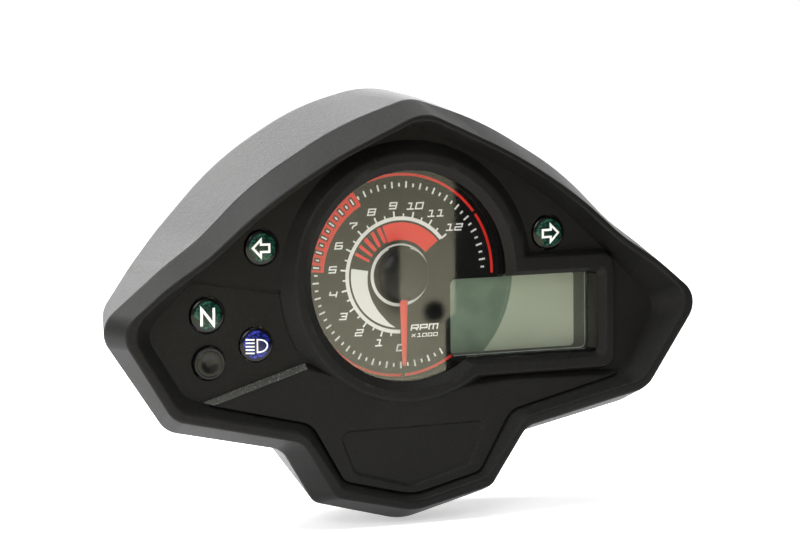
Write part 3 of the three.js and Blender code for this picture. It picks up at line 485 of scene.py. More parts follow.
@dataclass(frozen=True)
class BoardFinish(Finish):
    """Printed circuit board: solder mask over tracks, with pads."""

    def pattern(self, w: Wiring, where: object, colour: object) -> object:
        """Tracks under the mask and bright pads."""
        turned = w.mapped(where, Rotation=(math.pi / 2, 0.0, 0.0))
        tracks = w.texture("Brick", turned, 160.0)
        tracks.inputs["Mortar Size"].default_value = 0.06
        under = w.blend(tracks.outputs["Fac"], colour, tuple(1.9 * c for c in self.tone))
        pads = w.texture("Voronoi", turned, 210.0, feature="F1")
        return w.blend(w.band(pads.outputs["Distance"], 0.16, 0.12), under, (0.5, 0.48, 0.42))


@dataclass(frozen=True)
class WoundFinish(Finish):
    """Enamelled wire wound in layers along Z."""

    def relief(self, w: Wiring, where: object, height: object) -> object:
        """Round turns of wire."""
        return w.texture("Wave", where, 900.0, bands_direction="Z",
                         wave_profile="SIN").outputs["Fac"]


@dataclass(frozen=True)
class CellFinish(Finish):
    """Liquid crystal cell behind its polariser, with painted shade where the dial's pane lies over
    it.
    """

    boundary: Triple = (0.0, 0.0, 1.0)
    shaded: Colour = (0.1, 0.16, 0.1)

    def pattern(self, w: Wiring, where: object, colour: object) -> object:
        """Painted shade inside the dial pane's circle: darker, mottled, and darker still towards
        the left.

        Args:
            w: The material's wiring.
            where: Object coordinates.
            colour: The plain colour.

        Returns:
            The colour with it.
        """
        x, z, radius = self.boundary
        _, away = w.from_axis(where, (x, z))
        # The painted shade deepens towards the left.
        fade = w.band(w.split(where)[0], 15.0 * MM, 24.0 * MM)
        inner = w.blend(fade, tuple(0.75 * c for c in self.shaded), self.shaded)
        mottled = w.blend(w.band(w.noise(where, 130.0, 1.0), 0.3, 0.7), inner,
                          tuple(1.25 * c for c in self.shaded))
        return w.blend(w.band(away, (radius - 0.25) * MM, (radius + 0.25) * MM), mottled, colour)


FINISHES: dict[str, Finish] = {
    f.name: f
    for f in (
        Finish("case_plastic", (0.0062, 0.0061, 0.0058), (0.0085, 0.0083, 0.0079), 0.44,
               specular=0.105, pebbles=2000.0, bump=0.7, depth=0.00007, wear=(0.02, 0.02, 0.021),
               wear_span=(0.64, 0.8), dust=0.02, sparkle=0.25),
        Finish("hood_plastic", (0.012, 0.012, 0.012), (0.02, 0.02, 0.02), 0.46, specular=0.6,
               pebbles=1000.0, bump=0.9, depth=0.00014, wear=(0.04, 0.04, 0.04), dust=0.05,
               sparkle=0.9),
        # Paler copy of the case plastic for the sloped facet: painted highlight, with a coarser
        # grain.
        Finish("facet_highlight_plastic", (0.035, 0.037, 0.031), (0.065, 0.068, 0.058), 0.5, specular=0.5,
               pebbles=1000.0, bump=1.0, depth=0.00016, sparkle=1.0),
        Finish("mask_plastic", (0.0035, 0.0035, 0.0035), (0.005, 0.005, 0.005), 0.42, specular=0.12,
               pebbles=3200.0, bump=0.25, depth=0.00002),
        # Paler strip for the right wall of the display's well: painted highlight.
        Finish("well_wall_highlight", (0.05, 0.05, 0.042), (0.062, 0.061, 0.052), 0.5, specular=0.3,
               pebbles=3000.0, bump=0.3, depth=0.00002),
        Finish("clear_acrylic", (0.97, 0.98, 0.98), (0.99, 0.99, 0.99), 0.015, spread=0.008,
               bump=0.02, depth=0.00001, transmission=1.0, index=1.49, hairlines=0.02),
        Finish("dial_print", (0.0042, 0.0042, 0.004), (0.006, 0.006, 0.0058), 0.62, specular=0.08,
               pebbles=5200.0, bump=0.2, depth=0.00001),
        Finish("dial_white", (0.92, 0.93, 0.92), (0.95, 0.95, 0.95), 0.5, specular=0.3,
               pebbles=6000.0, bump=0.1, depth=0.00001),
        Finish("dial_red", (0.9, 0.02, 0.014), (0.95, 0.026, 0.018), 0.5, specular=0.3,
               pebbles=6000.0, bump=0.1, depth=0.00001),
        Finish("white_plastic", (0.78, 0.78, 0.75), (0.83, 0.83, 0.81), 0.45, bump=0.15,
               wear=(0.9, 0.9, 0.88)),
        BoardFinish("circuit_board", (0.012, 0.1, 0.035), (0.02, 0.13, 0.05), 0.35, bump=0.2,
                    coat=0.3),
        Finish("display_glass", (0.135, 0.145, 0.12), (0.155, 0.165, 0.135), 0.1, bump=0.03,
               depth=0.00001, hairlines=0.03),
        # Its darker disc is painted shade under the dial's pane.
        CellFinish("display_cells", (0.49, 0.55, 0.43), (0.53, 0.59, 0.465), 0.22, spread=0.03,
                   specular=0.4, pebbles=3800.0, bump=0.08, depth=0.00001,
                   boundary=(2.7, -0.8, 40.8), shaded=(0.165, 0.225, 0.17)),
        # Pale line on the display sheet's edges: painted highlight.
        Finish("glass_edge_highlight", (0.5, 0.56, 0.5), (0.56, 0.62, 0.55), 0.12, bump=0.04, depth=0.00001),
        LampFinish("green_lens", (0.003, 0.013, 0.01), (0.004, 0.018, 0.013), 0.16, spread=0.03,
                   specular=0.2, bump=0.05, depth=0.00001, coat=0.15, bright=(0.016, 0.1, 0.066),
                   rim=(0.003, 0.0035, 0.0035)),
        LampFinish("blue_lens", (0.004, 0.006, 0.05), (0.006, 0.009, 0.07), 0.16, spread=0.03,
                   specular=0.2, bump=0.05, depth=0.00001, coat=0.15, bright=(0.035, 0.045, 0.42),
                   rim=(0.003, 0.003, 0.005)),
        Finish("smoke_plastic", (0.006, 0.0062, 0.0064), (0.009, 0.0092, 0.0095), 0.24, spread=0.05,
               specular=0.22, bump=0.1, depth=0.00002, coat=0.08, hairlines=0.1),
        Finish("needle_red", (0.9, 0.045, 0.028), (0.95, 0.06, 0.035), 0.38, specular=0.4,
               bump=0.12, depth=0.00001, coat=0.15),
        Finish("gloss_black", (0.003, 0.003, 0.003), (0.004, 0.004, 0.004), 0.3, spread=0.05,
               specular=0.25, bump=0.04, depth=0.00001, hairlines=0.06),
        Finish("black_rubber", (0.014, 0.014, 0.014), (0.022, 0.021, 0.021), 0.78, specular=0.3,
               pebbles=1500.0, bump=0.5, depth=0.00006, wear=(0.05, 0.05, 0.05), dust=0.3),
        Finish("zinc_steel", (0.36, 0.37, 0.38), (0.45, 0.45, 0.44), 0.42, metallic=1.0,
               pebbles=2600.0, bump=0.2, depth=0.00002, wear=(0.6, 0.6, 0.59), hairlines=0.2),
        WoundFinish("copper_wire", (0.55, 0.22, 0.09), (0.68, 0.3, 0.13), 0.32, metallic=1.0,
                    bump=0.8, depth=0.0001),
        Finish("acetal", (0.8, 0.78, 0.7), (0.85, 0.83, 0.77), 0.36, specular=0.45, bump=0.1),
    )
}


class Workshop:
    def __init__(self, frame: dict) -> None:
        """Reads where the dial lies and builds the effects.
        """
        self.frame = frame
        self.effects = Effects()
        self.dial_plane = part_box("dial_plate")[0].y
        self.made: dict[str, bpy.types.Material] = {}

    def material(self, finish: Finish | str) -> bpy.types.Material:
        """The material of a finish or of a finish's name, built on first use."""
        finish = FINISHES[finish] if isinstance(finish, str) else finish
        if finish.name not in self.made:
            self.made[finish.name] = finish.build(self.effects)
        return self.made[finish.name]

    def piece(self, name: str, mesh: bpy.types.Mesh, finish: Finish | str,
              body: Body = Body.CASE, stands_for: Sequence[str] = (), crease: float = 32.0) -> None:
        """Turns a mesh in millimetres into a finished piece.

        Args:
            name: Name of the piece.
            mesh: Its mesh in the dial's frame.
            finish: Its finish, or the finish's name.
            body: The body that it rides on.
            stands_for: CAD nodes that it replaces.
            crease: Angle in degrees above which an edge stays sharp.
        """
        mesh.transform(Matrix.Translation((0.0, self.dial_plane, 0.0)) @ Matrix.Scale(MM, 4))
        mesh.name = name
        mesh.materials.clear()
        mesh.materials.append(self.material(finish))
        mesh.shade_smooth()
        mesh.set_sharp_from_angle(angle=math.radians(crease))
        made = placed(name, mesh)
        flats = made.modifiers.new("flat_faces", "WEIGHTED_NORMAL")
        flats.keep_sharp, flats.weight = True, 90
        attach(made, body.value)
        if stands_for:
            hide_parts(*stands_for)
        LOG.info("%s: %d faces on %s", name, len(mesh.polygons), body.value)

    def recoat(self, node: str, finish: str) -> None:
        """Gives a CAD node that keeps its shape a better material."""
        shown = self.frame["nodes"][node]
        shown.data.materials.clear()
        shown.data.materials.append(self.material(finish))
        LOG.info("%s keeps its shape, finished as %s", node, finish)


# ---------------------------------------------------------------- meshes


def placed(name: str, data: object) -> bpy.types.Object:
    """A new object in the scene."""
    made = bpy.data.objects.new(name, data)
    bpy.context.scene.collection.objects.link(made)
    return made


def settled(thing: bpy.types.Object) -> bpy.types.Mesh:
    """What an object's modifiers make of its mesh; the object itself is removed."""
    depsgraph = bpy.context.evaluated_depsgraph_get()
    out = bpy.data.meshes.new_from_object(thing.evaluated_get(depsgraph), depsgraph=depsgraph)
    thing.modifiers.clear()
    bpy.data.objects.remove(thing)
    return out


def mesh_of(points: Iterable, faces: Iterable[Sequence[int]]) -> bpy.types.Mesh:
    """A mesh with doubled points merged and its faces outwards.

    Args:
        points: Its points.
        faces: Its faces.

    Returns:
        The mesh.
    """
    mesh = bpy.data.meshes.new("shape")
    mesh.from_pydata([tuple(map(float, p)) for p in points], [], [tuple(f) for f in faces])
    work = bmesh.new()
    work.from_mesh(mesh)
    bmesh.ops.remove_doubles(work, verts=work.verts, dist=1e-5)
    bmesh.ops.recalc_face_normals(work, faces=work.faces)
    work.to_mesh(mesh)
    work.free()
    return mesh


def loft(rings: Sequence[Ring], looped: bool = False) -> bpy.types.Mesh:
    """Skins a closed body through rings of equal length.

    Args:
        rings: The rings, each an array of points.
        looped: Whether the last ring joins the first, as in a frame, with no caps.

    Returns:
        The mesh.
    """
    count = len(rings[0])
    points = np.concatenate(rings)
    faces: list[list[int]] = []
    spans = len(rings) if looped else len(rings) - 1
    for r in range(spans):
        a, b = r * count, ((r + 1) % len(rings)) * count
        faces += [[a + i, a + (i + 1) % count, b + (i + 1) % count, b + i] for i in range(count)]
    if not looped:
        last = (len(rings) - 1) * count
        faces += [list(range(count))[::-1], list(range(last, last + count))]
    return mesh_of(points, faces)


def soften(rings: Sequence[Ring], radii: Sequence[float], steps: int = 4) -> list[Ring]:
    """Rounds the edges where a loft turns at a ring.

    Args:
        rings: Rings of the loft.
        radii: How far the rounding reaches from each ring, zero for a sharp one.
        steps: Facets in each rounding.

    Returns:
        More rings.
    """
    out = [rings[0]]
    for k in range(1, len(rings) - 1):
        here = rings[k]
        if not radii[k]:
            out.append(here)
            continue
        before, after = rings[k - 1] - here, rings[k + 1] - here
        sizes = [np.linalg.norm(v, axis=1, keepdims=True) for v in (before, after)]
        reach = np.minimum(radii[k], 0.46 * np.minimum(*sizes))
        start, end = here + before / sizes[0] * reach, here + after / sizes[1] * reach
        for t in np.linspace(0.0, 1.0, steps + 1):
            out.append((1 - t) ** 2 * start + 2 * t * (1 - t) * here + t * t * end)
    out.append(rings[-1])
    return out


def ring_at(outline: np.ndarray, y: float, lean: float = 0.0) -> Ring:
    """Stands a flat outline up in space at y, leaning with the height."""
    return np.column_stack([outline[:, 0], y - lean * outline[:, 1], outline[:, 1]])


def circle(radius: float, steps: int, centre: Pair = (0.0, 0.0)) -> np.ndarray:
    """A circle's points, clockwise for the rider."""
    angles = -TAU * np.arange(steps) / steps
    return np.column_stack([centre[0] + radius * np.cos(angles),
                            centre[1] + radius * np.sin(angles)])


def round_outline(corners: Sequence[Pair], radii: Sequence[float],
                  steps: Sequence[int]) -> np.ndarray:
    """Rounds the corners of a closed outline.

    Args:
        corners: The sharp corners.
        radii: A radius for each.
        steps: Facets in each arc.

    Returns:
        The rounded outline's points.
    """
    pts = np.asarray(corners, float)
    out: list[np.ndarray] = []
    for i, corner in enumerate(pts):
        before, after = pts[i - 1] - corner, pts[(i + 1) % len(pts)] - corner
        room = min(np.linalg.norm(before), np.linalg.norm(after)) * 0.48
        before, after = before / np.linalg.norm(before), after / np.linalg.norm(after)
        half = math.acos(float(np.clip(before @ after, -1.0, 1.0))) / 2
        reach = min(radii[i] / math.tan(half), room)
        radius = reach * math.tan(half)
        middle = before + after
        centre = middle / np.linalg.norm(middle) * radius / math.sin(half) + corner
        start = before * reach + corner - centre
        turn = -math.copysign(math.pi - 2 * half, before[0] * after[1] - before[1] * after[0])
        for k in range(steps[i] + 1):
            c, s = math.cos(turn * k / steps[i]), math.sin(turn * k / steps[i])
            out.append(np.array([start[0] * c - start[1] * s,
                                 start[0] * s + start[1] * c]) + centre)
    return np.array(out)


def offset_outline(corners: np.ndarray, grow: float) -> np.ndarray:
    """Moves each side of a closed outline outwards by grow."""
    pts = np.asarray(corners, float)
    before = pts - np.roll(pts, 1, axis=0)
    after = np.roll(pts, -1, axis=0) - pts
    before /= np.linalg.norm(before, axis=1, keepdims=True)
    after /= np.linalg.norm(after, axis=1, keepdims=True)
    normal = np.column_stack([-before[:, 1] - after[:, 1], before[:, 0] + after[:, 0]])
    normal /= np.linalg.norm(normal, axis=1, keepdims=True)
    spread = normal[:, 0] * -before[:, 1] + normal[:, 1] * before[:, 0]
    return pts + normal * (grow / spread)[:, None]


def sharp_box(half_width: float, half_height: float) -> np.ndarray:
    """A rectangle's corners about the axis."""
    w, h = half_width, half_height
    return np.array([(-w, h), (w, h), (w, -h), (-w, -h)])


def oblong(left: float, right: float, bottom: float, top: float, radius: float,
           steps: int = 8) -> np.ndarray:
    """A rounded rectangle, clockwise for the rider."""
    corners = [(left, top), (right, top), (right, bottom), (left, bottom)]
    return round_outline(corners, [radius] * 4, [steps] * 4)


def revolve(profile: Sequence[Pair], centre: Pair = (0.0, 0.0), steps: int = 48,
            looped: bool = False) -> bpy.types.Mesh:
    """Turns a profile of (radius, y) round the Y direction.

    Args:
        profile: Its points.
        centre: Where the axis lies.
        steps: Facets round the axis.
        looped: Whether the profile closes on itself, as a ring's does.

    Returns:
        The mesh.
    """
    return loft([ring_at(circle(max(r, 1e-4), steps, centre), y) for r, y in profile], looped)


def rounded_profile(profile: Sequence[Pair], radii: Sequence[float], steps: int = 4) -> list[Pair]:
    """Rounds the corners of a profile of (radius, y)."""
    rings = [np.array([[r, y, 0.0]]) for r, y in profile]
    return [(float(p[0, 0]), float(p[0, 1])) for p in soften(rings, radii, steps)]


def lathe(profile: Sequence[Pair], radii: Sequence[float], centre: Pair = (0.0, 0.0),
          steps: int = 48, rounding: int = 3) -> bpy.types.Mesh:
    """A revolved profile whose corners are rounded by the radii."""
    return revolve(rounded_profile(profile, radii, rounding), centre, steps)


def bar(radius: float, start: float, end: float, centre: Pair = (0.0, 0.0),
        steps: int = 48) -> bpy.types.Mesh:
    """A round bar along Y."""
    return revolve([(radius, start), (radius, end)], centre, steps)


def flared_hole(radius: float, surface: float, back: float, flare: float,
                centre: Pair) -> bpy.types.Mesh:
    """Cutter for a hole with a small chamfer where it meets a face at y = surface."""
    over = 2.0
    return revolve([(radius + flare + over, surface - over), (radius + flare, surface),
                    (radius, surface + flare), (radius, back)], centre)


def prism(outline: np.ndarray, start: float, end: float) -> bpy.types.Mesh:
    """A straight body on an outline."""
    return loft([ring_at(outline, start), ring_at(outline, end)])


def merged(meshes: Sequence[bpy.types.Mesh]) -> bpy.types.Mesh:
    """Several meshes as the loose parts of one."""
    points: list[Vector] = []
    faces: list[list[int]] = []
    for mesh in meshes:
        base = len(points)
        points += [v.co.copy() for v in mesh.vertices]
        faces += [[base + i for i in p.vertices] for p in mesh.polygons]
    out = bpy.data.meshes.new("shapes")
    out.from_pydata(points, [], faces)
    return out


def solid(base: bpy.types.Mesh, steps: Sequence[tuple[Combine, bpy.types.Mesh]]) -> bpy.types.Mesh:
    """Joins and cuts solids in order.

    Args:
        base: The first solid.
        steps: What is done with each further solid.

    Returns:
        The result's mesh.
    """
    work, tools = placed("work", base), []
    for how, mesh in steps:
        tools.append(placed("tool", mesh))
        step = work.modifiers.new("step", "BOOLEAN")
        step.operation, step.solver, step.object = how.value, "MANIFOLD", tools[-1]
    out = settled(work)
    for tool in tools:
        bpy.data.objects.remove(tool)
    if not out.polygons:
        raise RuntimeError("a solid came out empty")
    return out


def shaped(base: bpy.types.Mesh, joins: Sequence[bpy.types.Mesh] = (),
           cuts: Sequence[bpy.types.Mesh] = ()) -> bpy.types.Mesh:
    """Joins solids to one and then cuts others out of it."""
    return solid(base, [(Combine.JOIN, m) for m in joins] + [(Combine.CUT, m) for m in cuts])


Lift = Callable[[float, float], float]


def level(ahead: float) -> Lift:
    """A flat face at a distance ahead of the dial."""
    return lambda x, z: ahead


def ribbon(path: Sequence[Pair], width: float | Sequence[float], lift: Lift, thick: float = 0.05,
           closed: bool = False) -> bpy.types.Mesh:
    """A thin printed stroke along a path.

    Args:
        path: Its middle line.
        width: Its width, or one for each point.
        lift: Where its face lies ahead of the dial at a point.
        thick: Its thickness.
        closed: Whether the path closes on itself.

    Returns:
        The mesh.
    """
    pts = np.asarray(path, float)
    widths = np.broadcast_to(np.asarray(width, float), len(pts))
    ahead = np.roll(pts, -1, axis=0) - pts
    behind = pts - np.roll(pts, 1, axis=0)
    if not closed:
        ahead[-1], behind[0] = behind[-1], ahead[0]
    ahead /= np.linalg.norm(ahead, axis=1, keepdims=True)
    behind /= np.linalg.norm(behind, axis=1, keepdims=True)
    normal = np.column_stack([-(ahead + behind)[:, 1], (ahead + behind)[:, 0]])
    normal /= np.linalg.norm(normal, axis=1, keepdims=True)
    spread = np.maximum(0.4, normal[:, 0] * -ahead[:, 1] + normal[:, 1] * ahead[:, 0])
    side = normal * (widths / 2 / spread)[:, None]
    rings = []
    for point, away in zip(pts, side):
        left, right = point + away, point - away
        rings.append(np.array([
            (left[0], -lift(*left) - thick, left[1]), (right[0], -lift(*right) - thick, right[1]),
            (right[0], -lift(*right), right[1]), (left[0], -lift(*left), left[1]),
        ]))
    return loft(rings, looped=closed)


def pane_rect(grow: float) -> np.ndarray:
    """Outline of the window's oblong part."""
    return oblong(0, 75.4 + grow, -32.3 - grow, -0.2 + grow, 3 + max(grow, -1.0))


def finer(path: Sequence[Pair], step: float) -> list[Pair]:
    """The same path with a point at least every step."""
    out: list[Pair] = [tuple(path[0])]
    for a, b in zip(path, path[1:]):
        n = max(1, math.ceil(math.dist(a, b) / step))
        out += [(a[0] + (b[0] - a[0]) * k / n, a[1] + (b[1] - a[1]) * k / n)
                for k in range(1, n + 1)]
    return out


def on_dial(radius: float, degrees: float) -> Pair:
    """A point on the dial, its angle clockwise from straight down."""
    turn = math.radians(degrees)
    return -radius * math.sin(turn), -radius * math.cos(turn)


def dial_arc(radius: float, start: float, end: float, step: float = 2.0) -> list[Pair]:
    """Points along an arc of the dial."""
    n = max(2, math.ceil((end - start) / step))
    return [on_dial(radius, start + (end - start) * k / n) for k in range(n + 1)]


# ---------------------------------------------------------------- geometry nodes


class Pattern:
    """A geometry node tree whose result becomes one plain mesh."""

    def __init__(self, name: str, inputs: dict[str, tuple[str, object]]) -> None:
        """Starts the tree with named inputs.

        Args:
            name: Name of the tree.
            inputs: Socket type and value of each input.
        """
        self.tree = bpy.data.node_groups.new(name, "GeometryNodeTree")
        self.tree.interface.new_socket(name="Geometry", in_out="INPUT",
                                       socket_type="NodeSocketGeometry")
        self.values: dict[str, object] = {}
        for label, (kind, value) in inputs.items():
            socket = self.tree.interface.new_socket(name=label, in_out="INPUT",
                                                    socket_type="NodeSocket" + kind)
            self.values[socket.identifier] = value
        self.tree.interface.new_socket(name="Geometry", in_out="OUTPUT",
                                       socket_type="NodeSocketGeometry")
        self.source = self.tree.nodes.new("NodeGroupInput")
        self.out = self.tree.nodes.new("NodeGroupOutput")

    def given(self, label: str) -> bpy.types.NodeSocket:
        """The socket of a named input."""
        return self.source.outputs[label]

    def node(self, kind: str, links: dict[object, object] | None = None,
             **settings: object) -> bpy.types.Node:
        """Adds a node, links or sets its inputs and sets its attributes.

        Args:
            kind: Its full type.
            links: Socket or value for each input, by name or number.
            settings: Attributes to set.

        Returns:
            The node.
        """
        made = self.tree.nodes.new(kind)
        for key, value in settings.items():
            setattr(made, key, value)
        for key, value in (links or {}).items():
            if isinstance(value, bpy.types.NodeSocket):
                self.tree.links.new(value, made.inputs[key])
            else:
                made.inputs[key].default_value = value
        return made

    def maths(self, how: str, *values: object) -> bpy.types.NodeSocket:
        """Adds a Math node and returns its result."""
        return self.node("ShaderNodeMath", dict(enumerate(values)), operation=how).outputs[0]

    def vector(self, x: object = 0.0, y: object = 0.0, z: object = 0.0) -> bpy.types.NodeSocket:
        """Adds a Combine XYZ node and returns its vector."""
        return self.node("ShaderNodeCombineXYZ", {0: x, 1: y, 2: z}).outputs[0]

    def close(self, geometry: bpy.types.NodeSocket) -> None:
        """Ends the tree with its instances realised and its material set."""
        real = self.node("GeometryNodeRealizeInstances", {"Geometry": geometry})
        dressed = self.node("GeometryNodeSetMaterial",
                            {"Geometry": real.outputs[0], "Material": self.given("Material")})
        self.tree.links.new(dressed.outputs[0], self.out.inputs[0])

    def mesh(self, points: Sequence[Triple] = ((0.0, 0.0, 0.0),),
             values: dict[str, object] | None = None) -> bpy.types.Mesh:
        """Runs the tree on a few points.

        Args:
            points: Vertices that the tree is given.
            values: Inputs that differ from the tree's own, by name.

        Returns:
            The result as a plain mesh.
        """
        carrier = bpy.data.meshes.new("points")
        carrier.from_pydata([tuple(p) for p in points], [], [])
        holder = placed("holder", carrier)
        modifier = holder.modifiers.new("pattern", "NODES")
        modifier.node_group = self.tree
        chosen = dict(self.values)
        for item in self.tree.interface.items_tree:
            if item.in_out == "INPUT" and values and item.name in values:
                chosen[item.identifier] = values[item.name]
        for identifier, value in chosen.items():
            modifier[identifier] = value
        return settled(holder)


def radial_marks(material: bpy.types.Material) -> Pattern:
    """Tree of flat marks set round the dial at even angles.

    Args:
        material: What the marks are printed in.

    Returns:
        The pattern, with inputs for its counts and sizes.
    """
    made = Pattern("radial_marks", {
        "Count": ("Int", 12), "Start": ("Float", 0.0), "Step": ("Float", 10.0),
        "Middle": ("Float", 30.0), "Length": ("Float", 2.0), "Width": ("Float", 0.6),
        "Ahead": ("Float", 0.05), "Thick": ("Float", 0.1), "Material": ("Material", material),
    })
    index = made.node("GeometryNodeInputIndex").outputs[0]
    degrees = made.maths("ADD", made.given("Start"),
                         made.maths("MULTIPLY", index, made.given("Step")))
    turn = made.maths("RADIANS", degrees)
    back = made.maths("MULTIPLY", made.given("Middle"), -1.0)
    place = made.vector(made.maths("MULTIPLY", made.maths("SINE", turn), back),
                        made.maths("MULTIPLY", made.given("Ahead"), -1.0),
                        made.maths("MULTIPLY", made.maths("COSINE", turn), back))
    points = made.node("GeometryNodePoints", {"Count": made.given("Count"), "Position": place})
    mark = made.node("GeometryNodeMeshCube",
                     {"Size": made.vector(made.given("Width"), made.given("Thick"),
                                          made.given("Length"))})
    marks = made.node("GeometryNodeInstanceOnPoints", {
        "Points": points.outputs[0], "Instance": mark.outputs[0],
        "Rotation": made.vector(0.0, turn, 0.0)})
    made.close(marks.outputs[0])
    return made


def copies(material: bpy.types.Material, shape: bpy.types.Object, seed: int) -> Pattern:
    """Tree that sets a copy of one shape at each given point, turned by chance about Y.

    Args:
        material: The copies' material.
        shape: What is copied, in millimetres about its own axis.
        seed: Seed of the turns.

    Returns:
        The pattern.
    """
    made = Pattern("fastener_copies", {
        "Shape": ("Object", shape), "Seed": ("Int", seed), "Most Turn": ("Float", 180.0),
        "Material": ("Material", material),
    })
    info = made.node("GeometryNodeObjectInfo", {"Object": made.given("Shape")})
    chance = made.node("FunctionNodeRandomValue", {"Seed": made.given("Seed")}, data_type="FLOAT")
    turn = made.maths("MULTIPLY", chance.outputs[1], made.maths("RADIANS", made.given("Most Turn")))
    copied = made.node("GeometryNodeInstanceOnPoints", {
        "Points": made.given("Geometry"), "Instance": info.outputs["Geometry"],
        "Rotation": made.vector(0.0, turn, 0.0),
    })
    made.close(copied.outputs[0])
    return made


# ---------------------------------------------------------------- case


@dataclass(frozen=True)
class CaseForm:
    """Outlines of the case in the front view, as shares of the half width and of the heights."""

    half_width: float = 113.4
    top_height: float = 62.4
    drop_height: float = 87.3
    lean: float = 0.083
    rim_lean: float = 0.079
    shell: tuple[Pair, ...] = ((0, 1), (0.238, 0.856), (0.511, 0.559), (0.679, 0.263),
                               (0.794, 0.114), (1, -0.143), (0.774, -0.569), (0.399, -0.675),
                               (0.291, -0.901), (0, -1))
    rim_outer: tuple[Pair, ...] = ((0, 0.933), (0.317, 0.668), (0.529, 0.42), (0.685, 0.179),
                                   (0.816, 0.026), (0.966, -0.142), (0.791, -0.504),
                                   (0.373, -0.627), (0.2575, -0.8625), (0, -0.938))
    rim_inner: tuple[Pair, ...] = ((0, 0.9), (0.3, 0.654), (0.503, 0.417), (0.679, 0.143),
                                   (0.798, 0.011), (0.934, -0.139), (0.772, -0.472), (0.37, -0.59),
                                   (0.242, -0.827), (0, -0.907))
    floor: tuple[Pair, ...] = ((0, 0.856), (0.285, 0.63), (0.488, 0.4), (0.695, 0.052),
                               (0.776, -0.069), (0.856, -0.168), (0.729, -0.433), (0.329, -0.559),
                               (0.2235, -0.798), (0, -0.87))
    shoulder: tuple[Pair, ...] = ((0, 1.04), (0.238, 0.93), (0.5, 0.645), (0.7, 0.255),
                                  (0.782, 0.07), (0.885, -0.143), (0.74, -0.504), (0.388, -0.614),
                                  (0.262, -0.8), (0, -0.874))
    radii: tuple[float, ...] = (14, 400, 400, 70, 90, 9, 10, 8, 5, 20)
    facets: tuple[int, ...] = (10, 16, 18, 12, 12, 14, 8, 8, 6, 6)
    shoulder_peak: float = 40.0

    def outline(self, shares: Sequence[Pair], grow: float = 0.0) -> np.ndarray:
        """An outline from its table.

        Args:
            shares: The table of its right half.
            grow: How far it is moved outwards.

        Returns:
            The rounded outline's points.
        """
        right = [(x * self.half_width, z * (self.top_height if z > 0 else self.drop_height))
                 for x, z in shares]
        left = [(-x, z) for x, z in right[-2:0:-1]]
        both = lambda table: [*table, *table[-2:0:-1]]
        peak = self.shoulder_peak if shares is self.shoulder else self.radii[0]
        return round_outline(offset_outline(np.array(right + left), grow),
                             both((peak, *self.radii[1:])), both(self.facets))


